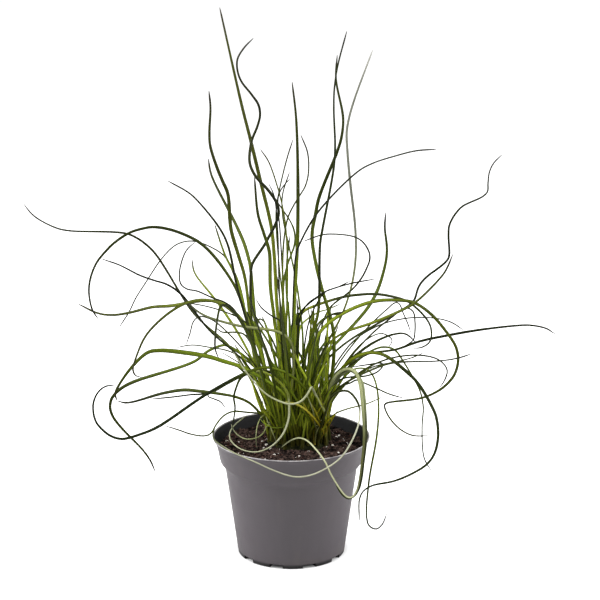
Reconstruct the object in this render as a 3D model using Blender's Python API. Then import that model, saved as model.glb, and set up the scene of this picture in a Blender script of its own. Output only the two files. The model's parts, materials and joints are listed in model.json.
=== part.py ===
"""Potted corkscrew rush: a tuft of curling leafless stems in a round nursery pot.

Everything is in metres with +Z up, and the pot stands on z = 0 with its axis on Z.
The stems' routes are written in millimetres, because they are chosen by hand.
"""
import math
from typing import NamedTuple

import bmesh
import bpy
import numpy as np
from mathutils import Vector
from mathutils.bvhtree import BVHTree

MM = 0.001
GAP = 0.0003

# The pot, a thin turned shell with a deep band below its lip.
POT_HEIGHT = 0.093
POT_RIM_RADIUS = 0.060
POT_LIP_INNER_RADIUS = 0.0587
POT_LIP_DEPTH = 0.0014
POT_LIP_SET_IN = 0.0003
POT_LIP_CHAMFER = 0.0005
POT_LIP_INNER_DROP = 0.0006
POT_FLARE_RADIUS = 0.0577
POT_FLARE_Z = 0.0894
POT_BAND_TOP_RADIUS = 0.0564
POT_BAND_TOP_Z = 0.0845
POT_BAND_LOW_RADIUS = 0.0542
POT_BAND_LOW_Z = 0.0735
POT_WALL_TOP_RADIUS = 0.0506
POT_WALL_TOP_Z = 0.0695
POT_BASE_RADIUS = 0.0412
POT_BASE_EDGE = 0.0006
POT_WALL = 0.0012
POT_FLOOR = 0.0016
POT_INNER_FLARE_RISE = 0.0004
POT_INNER_BAND_RISE = 0.0001
POT_INNER_STEP_RISE = 0.0008
POT_SEGMENTS = 50
POT_SMOOTH_ANGLE = math.radians(28)

# The drain notches around the bottom edge, which leave ten low feet.
NOTCH_COUNT = 10
NOTCH_HEIGHT = 0.0027
NOTCH_ANGLE = math.radians(12.6)
NOTCH_INNER_RADIUS = 0.0345
NOTCH_OUTER_RADIUS = 0.0460
NOTCH_FIRST_ANGLE = math.radians(-90.0 + 19.8)

# The soil, a plug that ends a little below the rim.
SOIL_TOP_Z = 0.0835
SOIL_PAD_RADIUS = 0.0352
SOIL_SEGMENTS = 28
SOIL_SIDE_GAP = 0.0005
SOIL_EDGE_DROP = 0.0012
SOIL_SHOULDER_WIDTH = 0.0055
SOIL_SHOULDER_RISE = 0.0003
SOIL_MIDDLE_SET_IN = 0.001
SOIL_BUMP = 0.0011
SOIL_SMOOTH_ANGLE = math.radians(40)

# The crown, the low clump of fused sheaths that the stems stand on. It stands a little
# behind the pot's axis.
TUFT_SET_BACK = 0.0100
CROWN_CENTRE = (0.0060, TUFT_SET_BACK)
CROWN_HALF_WIDTH = 0.0262
CROWN_HALF_DEPTH = 0.0184
CROWN_RISE = 0.0062
CROWN_EDGE = 0.0012
CROWN_SEGMENTS = 24
CROWN_STEPS = (0.28, 0.52, 0.74, 0.9, 1.0)
CROWN_KNOBS = 0.13
CROWN_SMOOTH_ANGLE = math.radians(50)

# Where the stems leave the crown, and how much of its set-back a route's first points take.
ROOT_HALF_WIDTH = 0.0242
ROOT_HALF_DEPTH = 0.0162
ROOT_FILL = 0.97
SET_BACK_SHARES = (1.0, 0.8, 0.5, 0.25)
GOLDEN_ANGLE = math.radians(137.508)

# The routes are laid out as seen from this far in front of the pot and this high.
SIGHT_DISTANCE = 1.327
SIGHT_HEIGHT = 0.542
SIGHT_SIDE = 0.0067

# Facets of a stem.
CHORD_STEP = 0.0015
CHORD_ERROR = 0.00075
SPAN_SAMPLES = 24
TAPER_POWER = 2.0
ROOT_LEAD = 0.40
ROOT_LEAN = 0.25
ROOT_MARGIN = 1.15

# How far crossing stems are kept apart, beyond their own thickness.
CLEARANCE = 0.0006
PARTING_STEP = 0.0018
PARTING_ROUNDS = 400
PARTING_EASE = 0.06
PARTING_GAIN = 1.5
PARTING_OWN_SHARE = 0.6
PARTING_SLACK = 0.45
RUN_BREAK = 4
ROOT_WEIGHT = 30.0
ROOT_WEIGHT_REACH = 0.012
SCALE_MARGIN = 1.12


class Girth(NamedTuple):
    """Half-thickness of a stem at its root and tip, and the number of its sides."""

    root: float
    tip: float
    sides: int


GIRTHS = {
    "thick": Girth(0.00150, 0.00050, 5),
    "medium": Girth(0.00118, 0.00044, 4),
    "thin": Girth(0.00092, 0.00038, 4),
    "fine": Girth(0.00072, 0.00030, 4),
}


class Stem(NamedTuple):
    """One stem: its name, girth, colour and route.

    The route runs from just above the crown to the tip. Each point is across, up and
    depth in millimetres: across and up are read in the upright plane through the pot's
    axis as the viewer sees it, and depth slides the point away along the line of sight.
    """

    name: str
    girth: str
    colour: tuple
    route: tuple


GREEN = (0.10, 0.15, 0.025)
OLIVE = (0.07, 0.09, 0.025)
DARK = (0.035, 0.045, 0.018)
CREAM = (0.50, 0.52, 0.26)

STEMS = (
    Stem("stem_tall_left_whip", "thick", OLIVE, (
        (-3, 130, 4), (-6.5, 164, 6), (-10.5, 194, 9), (-11.6, 217, 12), (-12.6, 235, 15),
        (-14.6, 255, 18), (-18, 269, 20), (-23, 292, 22), (-29, 318, 28), (-35, 342, 38), (-40, 368, 48),
        (-47, 397, 58), (-51, 416, 66))),
    Stem("stem_curl_companion", "medium", OLIVE, (
        (-18, 130, -6), (-28, 164, -8), (-30, 190, -8), (-30, 210, -3), (-29, 226, 2),
        (-21.5, 238, 8), (-15.5, 249, 10), (-11, 258, 8), (-9, 266, 3), (-11, 274, -5),
        (-17.5, 283.5, -14), (-26, 293, -18), (-30, 302, -16), (-30, 312, -10),
        (-28, 321.5, -6), (-23, 334, -7), (-23, 344, -13), (-29, 354, -24),
        (-37, 365, -32), (-39, 375, -33), (-38, 380.5, -31), (-33, 388, -27),
        (-27, 394, -24))),
    Stem("stem_left_tall", "medium", OLIVE, (
        (-20, 120, -8), (-28, 155, -12), (-31.5, 183, -16), (-34.5, 217, -22),
        (-38, 230, -27), (-43, 246, -34), (-45, 258, -37), (-45.5, 271, -37),
        (-47, 282, -37), (-51.5, 292, -40), (-56.5, 306, -48), (-58.5, 312, -52),
        (-59.5, 324, -58), (-58.5, 343, -64), (-59.5, 356, -70))),
    Stem("stem_left_second", "medium", OLIVE, (
        (-16, 125, 4), (-24, 160, 8), (-27, 185, 14), (-29, 215, 22), (-30.5, 226, 27),
        (-34, 240, 36), (-40, 255, 50), (-46.5, 268, 62), (-54, 283, 76), (-59, 296, 88),
        (-60.5, 306, 98))),
    Stem("stem_centre_needle", "thick", GREEN, (
        (3, 130, -4), (2.3, 185, -5), (3.7, 217, -4), (5, 250, -2), (4.8, 276, -6),
        (4.4, 320, -16), (3.6, 341, -21), (1, 362.5, -27))),
    Stem("stem_right_tall_wave", "thick", OLIVE, (
        (28, 115, -4), (31.5, 146, -6), (32.4, 162, -8), (31.5, 176, -10),
        (29.2, 187.5, -12), (25, 201, -13), (21, 216, -11), (17, 235, -3),
        (15.6, 249, 3), (17.7, 262, 8), (20.6, 276.5, 11), (27.2, 292.5, 12),
        (32.3, 306.5, 12), (36.6, 320, 13), (38.3, 334, 18), (35.7, 348, 25),
        (33, 362.5, 31), (32.6, 374, 35), (33.6, 382, 38))),
    Stem("stem_right_tall_straight", "medium", OLIVE, (
        (12, 125, -8), (13.5, 150, -10), (15.8, 172, -12), (19.5, 185, -16),
        (21, 197.5, -19), (21, 210.6, -22), (20.8, 227.4, -26), (22.2, 247, -30),
        (25.5, 263, -31), (28, 279, -31), (31, 295.4, -32), (32.3, 309, -35),
        (32.2, 324.3, -41), (31.3, 343.5, -50), (31.7, 358, -55), (33, 369, -58),
        (34.7, 377, -60), (37.5, 388, -62), (40.4, 399, -64))),
    Stem("stem_right_faint_tall", "thin", OLIVE, (
        (17, 122, 14), (20.8, 150.6, 24), (26.2, 162.8, 29), (32.6, 176.8, 35),
        (39.3, 190.5, 42),
        (41.5, 199, 47), (45.2, 210, 54), (48.3, 235, 66), (47.9, 249.5, 72),
        (46.6, 264.6, 76), (44.2, 283.5, 79), (41.8, 307.3, 86), (40.9, 326.5, 95),
        (44.4, 343.5, 104), (50.8, 362.5, 113), (59.2, 385.5, 122))),
    Stem("stem_top_right_arc", "fine", DARK, (
        (3, 130, -10), (1, 170, -14), (2, 205, -22), (3.7, 233.5, -30),
        (7.4, 244, -34), (11.9, 252, -38), (18.5, 264, -45), (29.5, 276, -54),
        (39, 286.5, -62), (47.8, 295.4, -69), (58.7, 302, -77), (74, 307.3, -88),
        (92.3, 312, -100), (106.2, 313, -110))),
    Stem("stem_inner_loop", "fine", GREEN, (
        (13, 120, 8), (19, 155, 16), (24, 182, 22), (30, 194, 25), (41.5, 203.6, 30),
        (49.3, 211, 34), (55, 220.5, 36), (58.7, 231, 32), (55.7, 240.4, 22),
        (49, 246.5, 10), (38.5, 249, -2), (23.7, 249, -14), (9.6, 244, -24))),
    Stem("stem_right_upright", "medium", OLIVE, (
        (18, 118, 8), (26.4, 155.4, 14), (35.4, 167, 24), (45, 177.3, 38),
        (52.5, 186.6, 51), (59.8, 196.7, 60), (65, 207.5, 68), (68.5, 219, 74),
        (71.3, 235, 79), (70.4, 247, 80), (69.2, 258.5, 78), (70, 266, 76))),
    Stem("stem_far_right_zigzag", "thin", OLIVE, (
        (17, 122, 3), (25.6, 150, 3), (44.5, 168, 11), (65, 180.5, 22),
        (80, 190, 31), (90.5, 196.7, 36), (92.8, 200.5, 38), (95.6, 209.8, 43),
        (101, 216.7, 48), (108.8, 222.8, 50), (116.8, 230.5, 46), (117.4, 238, 40),
        (116.8, 247.2, 34), (117.3, 256.3, 32), (122, 265.4, 34), (129, 272.2, 40),
        (139.4, 276.7, 48), (144.5, 280.5, 54), (145, 286.5, 60), (145.5, 294.7, 64),
        (149, 303, 66), (154.7, 309, 66))),
    Stem("stem_far_right_leaf", "thin", OLIVE, (
        (17, 125, -6), (25.6, 161, -14), (36.8, 172, -22), (48.8, 177.3, -30),
        (60, 181, -38), (75, 187.4, -48), (87.6, 193.6, -57), (94.3, 198.2, -62),
        (106.7, 210.6, -70), (115, 221.3, -76), (120.4, 234.3, -80))),
    Stem("stem_right_big_arch", "thick", GREEN, (
        (12, 122, -10), (15.4, 157, -14), (20.8, 172.5, -18), (29.3, 182, -22),
        (40.8, 189.7, -26),
        (52.4, 195, -32), (63.6, 198.2, -37), (74.8, 199, -42), (90.5, 197.5, -50),
        (98, 193.6, -54), (107, 186, -60), (116.9, 174, -66), (123.4, 164, -70),
        (126, 153.8, -71), (124, 142, -68), (118, 133.3, -62), (110, 127, -55),
        (101.6, 123, -48), (89.5, 120.6, -38), (76, 119, -26), (71.3, 117.4, -19),
        (71.4, 113.4, -13), (76, 104.7, -9), (83.8, 96.7, -9), (91.5, 92.7, -12),
        (99, 91.5, -16), (105, 92, -20))),
    Stem("stem_right_upper_arch", "medium", GREEN, (
        (5, 125, 6), (3.5, 165, 11), (5, 182, 15), (9, 189.7, 18), (17.2, 194.3, 24),
        (29.2, 198.2, 31), (40.7, 201.7, 38), (52.3, 203.2, 44), (63.5, 203.6, 50),
        (73.3, 202, 55), (86.8, 198.2, 61), (93.6, 192.8, 64), (100.5, 185.8, 66),
        (105, 177.3, 66), (104.6, 167, 64), (99, 162.4, 61), (92, 161.4, 58))),
    Stem("stem_right_long_whip", "thin", DARK, (
        (25, 115, 6), (31.8, 139.7, 10), (41, 147.6, 14), (52.8, 154, 18),
        (60.3, 157.8, 20), (71.6, 159.3, 22), (83.6, 161.7, 22), (95.5, 166.5, 20),
        (112, 170.3, 14), (129.6, 174, 6), (146.4, 176.5, -2), (165, 178, -8),
        (177.2, 179.6, -12), (184, 178.8, -14), (191.5, 177, -14), (198.4, 172.6, -13))),
    Stem("stem_right_droop_loop", "thick", GREEN, (
        (30, 118, -14), (37, 143, -20), (44.5, 151.4, -26), (53.5, 157, -32),
        (64, 157.8, -38), (71.6, 155.4, -42), (80, 149, -47), (89.2, 141.3, -52),
        (97, 132.5, -56), (103, 122, -60), (108.6, 112, -63), (111.5, 101.5, -65),
        (112, 91, -66), (110, 79, -66), (104, 69.3, -64), (93.5, 62, -60),
        (79, 55.5, -54), (66.4, 53, -49), (59.5, 50.5, -46), (54.5, 46, -44),
        (52.4, 40, -43), (52, 32, -42), (52.5, 23, -41))),
    Stem("stem_thin_hook", "fine", OLIVE, (
        (28.5, 112, 4), (33, 127, 6), (40.5, 139, 8), (49, 145.5, 10), (57, 145, 13), (62, 139.5, 15),
        (64.3, 132.5, 16), (66, 124.2, 17), (66.5, 114.3, 18), (66.2, 104.7, 18),
        (65.4, 93.5, 18), (63.7, 79.8, 17), (61.3, 67.6, 16), (59.4, 52.3, 14),
        (59.3, 39.2, 13), (58, 29.4, 12), (58.7, 22.8, 12), (61, 17.9, 12),
        (65.7, 16.2, 12), (69.5, 19, 11), (72.2, 24.5, 10), (73.6, 28.6, 9))),
    Stem("stem_front_thick_droop", "thick", CREAM, (
        (26.5, 113, -12), (30, 132, -18), (35.5, 141.5, -23), (42.5, 145.2, -28),
        (48.3, 143, -32), (51.6, 136, -36), (53, 126, -40), (54.4, 115, -44),
        (55.7, 94.3, -48),
        (54.3, 74, -53), (52.5, 58, -58), (50.7, 48.9, -62), (47, 42.5, -66),
        (43, 42.5, -68), (37, 49.8, -71), (30.7, 60.4, -73), (26, 71, -73),
        (19.9, 79.8, -70), (13, 87.5, -62), (5.3, 90.3, -51), (-2.3, 87, -41),
        (-7.2, 83, -33))),
    Stem("stem_rim_loop", "fine", CREAM, (
        (26, 110, -16), (29.6, 121.5, -21), (35.6, 127, -27), (42.4, 127.8, -34),
        (47.8, 123, -43), (51.6, 115.9, -52), (51.7, 103.9, -61), (47.3, 90.3, -68),
        (39.8, 76.6, -72), (28.3, 66.8, -75), (15.3, 60.4, -76), (4.6, 58.8, -76),
        (-6.9, 61.2, -76), (-19.2, 66.8, -74), (-27.6, 70.9, -71), (-40.5, 76.6, -60),
        (-55, 85.5, -42), (-59.5, 91, -24), (-58.7, 97.5, -9), (-54, 105.5, 8),
        (-47, 110.7, 20), (-40.3, 112, 28), (-32.3, 110.3, 36))),
    Stem("stem_front_cream_loop", "thin", CREAM, (
        (26, 108, -13), (22.2, 116.5, -17), (18.8, 124, -20), (16.4, 129, -24),
        (14.9, 130.6, -29), (13, 126.5, -33), (8.6, 120.6, -35), (3.8, 118, -36),
        (-1.3, 117.4, -36), (-8.4, 119.6, -37),
        (-16.7, 123.8, -38), (-25, 131.2, -41), (-33, 141.5, -45), (-39, 150.4, -50),
        (-43.5, 158.5, -55))),
    Stem("stem_centre_wave", "medium", GREEN, (
        (1.5, 108, -4), (3, 122, -6), (3.8, 136.4, -8), (2.3, 152.2, -9),
        (0.8, 163.9, -10), (1.5, 175.7, -12), (3.8, 186.6, -14), (6.7, 196, -16))),
    Stem("stem_soil_loop", "fine", CREAM, (
        (-14, 108, -10), (-22, 128, -16), (-27, 140, -19), (-24, 143.5, -22),
        (-17, 141, -25), (-9, 135, -28), (-3, 127, -30), (-1.5, 115.5, -32),
        (-2.3, 104, -36), (-7, 92.5, -42), (-15.3, 83.5, -45), (-26, 79, -44),
        (-36.6, 80.5, -38), (-43.5, 85, -30), (-47, 91, -18), (-46, 96.5, -10),
        (-41, 102.5, 0), (-33.5, 108.5, 10))),
    Stem("stem_left_thin_drop", "thin", DARK, (
        (-16, 112, 6), (-24, 132, 4), (-31, 141, 0), (-37.5, 138.6, -4), (-41, 132, -7),
        (-43.5, 123, -9), (-42.6, 115, -10), (-44.3, 108, -10), (-45, 98, -10))),
    Stem("stem_left_thick_arch", "thick", GREEN, (
        (-1.5, 104, -15), (-5, 124, -20), (-15, 133, -23), (-26, 140.5, -25),
        (-39.3, 147.5, -27), (-51.3, 151.4, -29),
        (-62.6, 155, -33), (-78.4, 157.8, -39), (-93.4, 159.3, -44),
        (-103, 159.6, -48), (-109.3, 157.5, -50), (-114.6, 153, -53),
        (-120.8, 146, -57), (-127, 137.3, -60), (-131.8, 130, -62),
        (-133.4, 124.6, -62), (-132, 119.8, -61))),
    Stem("stem_left_low_arch", "medium", GREEN, (
        (-20.5, 106, -6), (-32.6, 119, -7), (-44.7, 123.8, -6), (-59, 126.2, -3),
        (-71.2, 127.8, 1), (-81, 128.6, 5), (-92.5, 127, 10), (-106, 123.8, 16),
        (-117.6, 120.6, 21), (-126.7, 118.2, 25), (-132, 119.8, 28))),
    Stem("stem_left_returning", "medium", OLIVE, (
        (-15, 112, 10), (-19.5, 132, 14), (-27, 147.5, 20), (-35, 153.5, 24),
        (-42, 160, 28), (-49, 163.8, 31),
        (-56, 162.5, 34), (-63.7, 158.5, 38), (-72.4, 151.4, 42), (-82.3, 148.3, 46),
        (-97.5, 142.8, 53), (-113.4, 137.7, 60), (-122.6, 133.3, 64),
        (-130.3, 128.6, 67), (-135, 123.8, 68), (-137.4, 117.8, 68),
        (-136.8, 110.3, 66), (-131.7, 101.5, 62), (-123.6, 91.9, 56),
        (-114.6, 82.2, 50), (-108.6, 73.3, 46), (-105.3, 66.8, 44),
        (-104.2, 62.8, 43))),
    Stem("stem_left_long_diagonal", "medium", GREEN, (
        (19, 104, -20), (15.2, 117.4, -23), (10.6, 129.4, -27), (1, 138.9, -30),
        (-9, 144.4, -33), (-20.4, 146.4, -37), (-33.2, 142.6, -42),
        (-42.5, 137.5, -45), (-51.8, 132.4, -48),
        (-64, 125.4, -52), (-76.7, 116.3, -57), (-90.5, 106.3, -62),
        (-103.2, 98.3, -67), (-114.4, 93.5, -71), (-122, 91.1, -74),
        (-129.7, 89.5, -77), (-135.8, 91, -80), (-142.9, 96, -85), (-148.4, 103, -90),
        (-150.5, 112.7, -95), (-149.5, 120.6, -97), (-145.5, 127.8, -97),
        (-139.7, 131.8, -95), (-133.2, 132.5, -92))),
    Stem("stem_far_left_whip", "thin", DARK, (
        (-20, 110.8, 6), (-24.6, 121.6, 8), (-29.6, 134.8, 12), (-34.6, 144.4, 16),
        (-41.7, 156.5, 21), (-49.5, 166.4, 26), (-60, 175.7, 33),
        (-72, 187.4, 40), (-78.5, 197.5, 45), (-85.9, 209.4, 50), (-94.2, 224.3, 55),
        (-102.5, 236.6, 58), (-112, 245, 58), (-120.8, 249.5, 56), (-132.6, 251, 51),
        (-149.6, 251.8, 43), (-168, 252.5, 34), (-182, 257.8, 28),
        (-191.4, 264.6, 25), (-197, 272, 24))),
    Stem("stem_left_big_loop", "medium", OLIVE, (
        (-17, 120, -6), (-26, 155, -14), (-33.7, 185, -22), (-38.9, 202, -27),
        (-43.3, 212, -31), (-49.2, 221.3, -36), (-58, 233.6, -43), (-69.7, 244.3, -51),
        (-86, 251.8, -60), (-99.6, 254.8, -67), (-111, 253.3, -72), (-124.5, 248, -77),
        (-135.2, 238.9, -80), (-144.3, 228.2, -80), (-149, 217.5, -78),
        (-151, 206.7, -74), (-149, 192, -67), (-144.7, 184.3, -62))),
    Stem("stem_left_horizontal", "medium", OLIVE, (
        (-13, 120, 12), (-23, 158, 22), (-37, 184, 36), (-52.4, 196.7, 48),
        (-66.6, 198.3, 59), (-77.8, 196.5, 66), (-90, 194.5, 74), (-103.3, 193.6, 82),
        (-122, 189, 94), (-135, 187.4, 102), (-145.4, 189, 108), (-152, 192.8, 112),
        (-159.4, 196, 116))),
    Stem("stem_left_inner_reach", "fine", DARK, (
        (-17, 115, 2), (-33, 148, 2), (-60, 174, 0), (-70, 187, -2),
        (-78.5, 198.5, -5), (-83.7, 205, -8), (-91.8, 210.6, -14),
        (-103, 214.4, -24), (-115, 219, -32), (-128, 226, -38),
        (-140.6, 230.5, -42))),
    Stem("stem_left_hair_diagonal", "fine", DARK, (
        (-15, 115, 12), (-24, 150, 20), (-33, 187, 33), (-42, 216.7, 44),
        (-49, 232, 54), (-62, 240.8, 70), (-68.3, 243, 78), (-75.7, 244.2, 86),
        (-85.4, 241.2, 95), (-95.2, 232, 103), (-105.9, 216, 110),
        (-114.4, 203.6, 113), (-121.4, 189.7, 114), (-129, 178, 114))),
    Stem("stem_left_inner_tip", "thin", OLIVE, (
        (-14, 112, 14), (-26, 145, 28), (-38, 170, 44), (-49, 188, 57),
        (-58.5, 202, 68), (-67.9, 213.6, 78), (-72.3, 221.3, 84), (-73.6, 230.5, 90))),
    Stem("stem_left_arc_down", "medium", OLIVE, (
        (-17, 116, -10), (-26, 153, -22), (-37, 182, -36), (-52.4, 196, -50),
        (-66.6, 199, -62), (-78.5, 196.7, -72), (-89, 190.5, -81), (-99.8, 182, -90),
        (-109.8, 170.3, -99), (-115.3, 158.5, -105), (-118.5, 149.8, -108),
        (-119.4, 143.6, -110), (-117.2, 139.7, -110), (-113.4, 138.9, -108))),
    Stem("stem_front_horizontal", "thin", GREEN, (
        (0, 115, -14), (2, 150, -22), (0, 166, -26), (-9, 174, -31),
        (-27.8, 177.3, -38), (-39, 179, -42), (-55.5, 183.5, -48), (-66.7, 188, -53),
        (-74, 193.6, -57), (-79, 199, -61))),
    Stem("stem_top_left_thin", "thin", DARK, (
        (-16, 118, -12), (-26, 155, -22), (-34, 185, -34), (-40, 208, -42),
        (-43.2, 225.2, -50), (-45.3, 235, -56), (-49, 247.2, -64),
        (-55.5, 257.8, -73), (-63, 267.7, -83), (-74.4, 280, -96), (-82, 284, -103),
        (-90.5, 289.5, -112))),
    Stem("stem_left_needle", "thin", GREEN, (
        (-15, 115, 2), (-24, 145, 4), (-31, 172, 8), (-36, 197, 13),
        (-40.3, 215, 17), (-44, 222, 19), (-49, 233.5, 23), (-52.7, 245.7, 28),
        (-56.5, 257, 34))),
    Stem("stem_centre_thin_left", "thin", OLIVE, (
        (-3, 120, 8), (-4, 150, 9), (-3, 200, 14), (-3, 245, 20), (-6.6, 272, 26),
        (-10.3, 286.5, 30), (-13.2, 295.4, 34), (-16.9, 305, 38), (-22.3, 313, 44))),
    Stem("stem_centre_thin_right", "thin", OLIVE, (
        (0, 120, -8), (-2, 160, -14), (-6, 205, -24), (-5.2, 245, -33),
        (-1.5, 264, -38), (5.9, 277.8, -42), (10.7, 285.7, -42), (12.5, 293, -42),
        (13.2, 304.3, -44), (11.3, 314, -48), (7.3, 323.6, -54))),
    Stem("stem_centre_thin_tip", "fine", OLIVE, (
        (-1, 120, 14), (-3, 165, 18), (-8, 220, 25), (-11, 255, 30),
        (-10.3, 274.4, 34), (-6.6, 289.5, 40), (-3, 305.7, 48), (1.5, 320, 56))),
    Stem("stem_centre_left_vertical", "medium", GREEN, (
        (-6, 118, -8), (-9, 150, -12), (-11.6, 179.6, -16), (-13.5, 193.6, -18),
        (-15.7, 213.6, -20), (-15.6, 232, -22), (-17, 240, -24), (-20.7, 251.8, -28),
        (-24.4, 264.6, -34), (-26.2, 278.5, -41), (-26.8, 292.5, -48))),
    Stem("stem_centre_right_curve", "medium", GREEN, (
        (-2, 120, 12), (-4, 155, 18), (-6, 185, 23), (-5.2, 215, 28), (-2.2, 227.4, 30),
        (0.7, 235, 33), (3, 245, 36), (1.5, 254.8, 38), (-3, 263, 42),
        (-9.6, 273, 48))),
    Stem("stem_right_mid_arch", "medium", OLIVE, (
        (24, 114, -8), (34.8, 141, -12), (45, 152.5, -14), (53, 159.5, -15),
        (64, 167, -16), (75.2, 171.8, -16), (84, 173.2, -18), (89.5, 170.6, -20),
        (94.5, 165.5, -22))),
    Stem("stem_right_far_arc", "fine", DARK, (
        (22, 118, 12), (32, 146, 20), (48, 168, 28), (67.5, 180, 38),
        (83.2, 184.3, 46), (96, 185.5, 54), (111.7, 184.3, 64), (121.6, 181, 70),
        (129.2, 175.8, 75))),
    Stem("stem_right_low_reach", "thin", OLIVE, (
        (26, 108, -12), (31, 124, -19), (41, 134, -27), (62, 145, -38), (80, 150.5, -48),
        (95, 150.9, -57), (110, 151.4, -66), (126, 153.8, -78), (135.7, 157, -86))),
    Stem("stem_right_thin_drop", "thin", OLIVE, (
        (28, 115, 14), (42, 142, 26), (58, 158, 36), (70, 162.5, 42), (77.5, 160.5, 46),
        (83, 153.8, 50), (90, 141.3, 53), (97, 129.4, 56), (100.2, 116.7, 57),
        (99.7, 103, 57), (99.9, 91.9, 56), (101.7, 74, 54), (107.3, 64, 52))),
    Stem("stem_back_arch_left", "medium", GREEN, (
        (-10, 115, 18), (-14, 138, 40), (-17.5, 153.8, 62), (-22, 167, 86),
        (-25, 178, 108), (-24, 184, 124), (-20, 182, 136), (-16.5, 172, 144),
        (-15, 158, 148))),
    Stem("stem_back_arch_right", "medium", GREEN, (
        (8, 115, 18), (6, 140, 42), (5.3, 163.9, 72), (7.3, 179, 96), (12, 183.5, 110),
        (17, 186.8, 121), (21.7, 190.1, 130), (27, 191.6, 138), (36.7, 195.9, 147))),
    Stem("stem_back_whip", "thin", OLIVE, (
        (8, 120, 16), (9, 165, 34), (5, 206, 56), (-1, 238, 82), (-6, 262, 108),
        (-6, 280, 130), (-1, 296, 146))),
    Stem("stem_back_droop", "medium", GREEN, (
        (17, 110, 17), (18, 138, 42), (20, 155, 70), (24, 161, 96), (27.5, 153, 118),
        (28, 138, 132), (27, 122, 139), (25, 106, 139), (23, 97, 135))),
    Stem("stem_back_curl", "thin", OLIVE, (
        (-1, 112, 18), (-3.5, 150, 48), (-5, 182, 80), (-5.4, 212, 102),
        (-2.6, 226.5, 108), (0.2, 234, 104), (3.2, 243.5, 98), (2, 254, 98),
        (-4, 264.5, 106), (-10, 274, 116))),
    Stem("stem_front_reach", "medium", GREEN, (
        (1, 110, -16), (-1.5, 123, -32), (-3.6, 144.3, -58), (-4.5, 163.9, -84),
        (-6, 175.7, -102), (-7.5, 191.2, -122), (-9, 205.1, -137), (-10.4, 217.5, -146))),
    Stem("stem_front_whip", "thin", OLIVE, (
        (-8.8, 113, -14), (-12.1, 130.1, -34), (-14.4, 142.7, -50), (-17.4, 153.8, -66),
        (-21.1, 167.1, -84), (-24.8, 178, -101), (-28.5, 191.2, -121), (-30.4, 202, -135),
        (-31, 212, -144))),
    Stem("stem_front_left_hook", "medium", OLIVE, (
        (-14, 112, -16), (-21, 138, -36), (-30, 167, -62), (-40, 186, -84),
        (-48, 194.6, -100), (-53, 193.6, -110), (-54.8, 186.6, -116),
        (-55.8, 178.8, -122), (-57, 171, -128), (-57.3, 163.2, -132),
        (-56.6, 158.5, -134), (-54.6, 153.6, -135))),
    Stem("stem_front_right_curl", "thin", GREEN, (
        (11.4, 112, -18), (11.4, 126, -38), (13.6, 144.3, -66), (17.3, 163.9, -96),
        (21.8, 179.7, -118), (26.1, 184.6, -128), (30.3, 187.6, -135),
        (35.7, 188.1, -141), (40.5, 191, -145))),
    Stem("stem_centre_short_needle", "thin", GREEN, (
        (-1, 118, 3), (-1.5, 144.3, 7), (-0.8, 163.9, 10), (-1.5, 191.2, 14),
        (-3.4, 206, 17), (-3.7, 218.2, 20), (-3.1, 228.2, 23), (-2.2, 238, 25),
        (-0.6, 249, 27))),
)


def make_material(name, colour, roughness):
    """Return a plain Principled material.

    Args:
        name: the material's name.
        colour: linear red, green and blue.
        roughness: surface roughness from 0 to 1.
    """
    material = bpy.data.materials.new(name)
    material.use_nodes = True
    shader = material.node_tree.nodes["Principled BSDF"]
    shader.inputs["Base Color"].default_value = (*colour, 1.0)
    shader.inputs["Roughness"].default_value = roughness
    material.diffuse_color = (*colour, 1.0)
    return material


def add_object(name, vertices, faces, material, smooth_angle=None):
    """Make one closed mesh object whose faces point outward.

    Args:
        name: the object's name.
        vertices: positions in metres.
        faces: lists of vertex indices.
        material: the object's only material.
        smooth_angle: faces meeting at less than this angle are shaded smooth.
    """
    mesh = bpy.data.meshes.new(name)
    mesh.from_pydata([tuple(v) for v in vertices], [], [tuple(f) for f in faces])
    mesh.validate()
    work = bmesh.new()
    work.from_mesh(mesh)
    bmesh.ops.recalc_face_normals(work, faces=work.faces)
    work.to_mesh(mesh)
    work.free()
    mesh.materials.append(material)
    obj = bpy.data.objects.new(name, mesh)
    bpy.context.collection.objects.link(obj)
    if smooth_angle is not None:
        mesh.shade_smooth()
        mesh.set_sharp_from_angle(angle=smooth_angle)
    return obj


def turned_solid(profile, segments):
    """Return vertices and faces of a closed outline turned about Z.

    Args:
        profile: radius and height pairs around the section; a radius of 0 is a pole.
        segments: the number of steps around.
    """
    vertices = []
    rows = []
    for radius, height in profile:
        if radius == 0:
            rows.append([len(vertices)] * segments)
            vertices.append((0.0, 0.0, height))
            continue
        rows.append(list(range(len(vertices), len(vertices) + segments)))
        for step in range(segments):
            angle = 2 * math.pi * step / segments
            vertices.append((radius * math.cos(angle), radius * math.sin(angle), height))
    faces = []
    for low, high in zip(rows, rows[1:]):
        for step in range(segments):
            after = (step + 1) % segments
            corners = []
            for index in (low[step], low[after], high[after], high[step]):
                if index not in corners:
                    corners.append(index)
            faces.append(corners)
    return vertices, faces


def notch_block(angle):
    """Return vertices and faces of one drain notch's cutting block at an angle."""
    vertices = []
    for height in (-NOTCH_HEIGHT, NOTCH_HEIGHT):
        for radius in (NOTCH_INNER_RADIUS, NOTCH_OUTER_RADIUS):
            for side in (-0.5, 0.5):
                turn = angle + side * NOTCH_ANGLE
                vertices.append((radius * math.cos(turn), radius * math.sin(turn), height))
    faces = [(0, 1, 3, 2), (4, 6, 7, 5), (0, 4, 5, 1), (2, 3, 7, 6), (0, 2, 6, 4), (1, 5, 7, 3)]
    return vertices, faces


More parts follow.
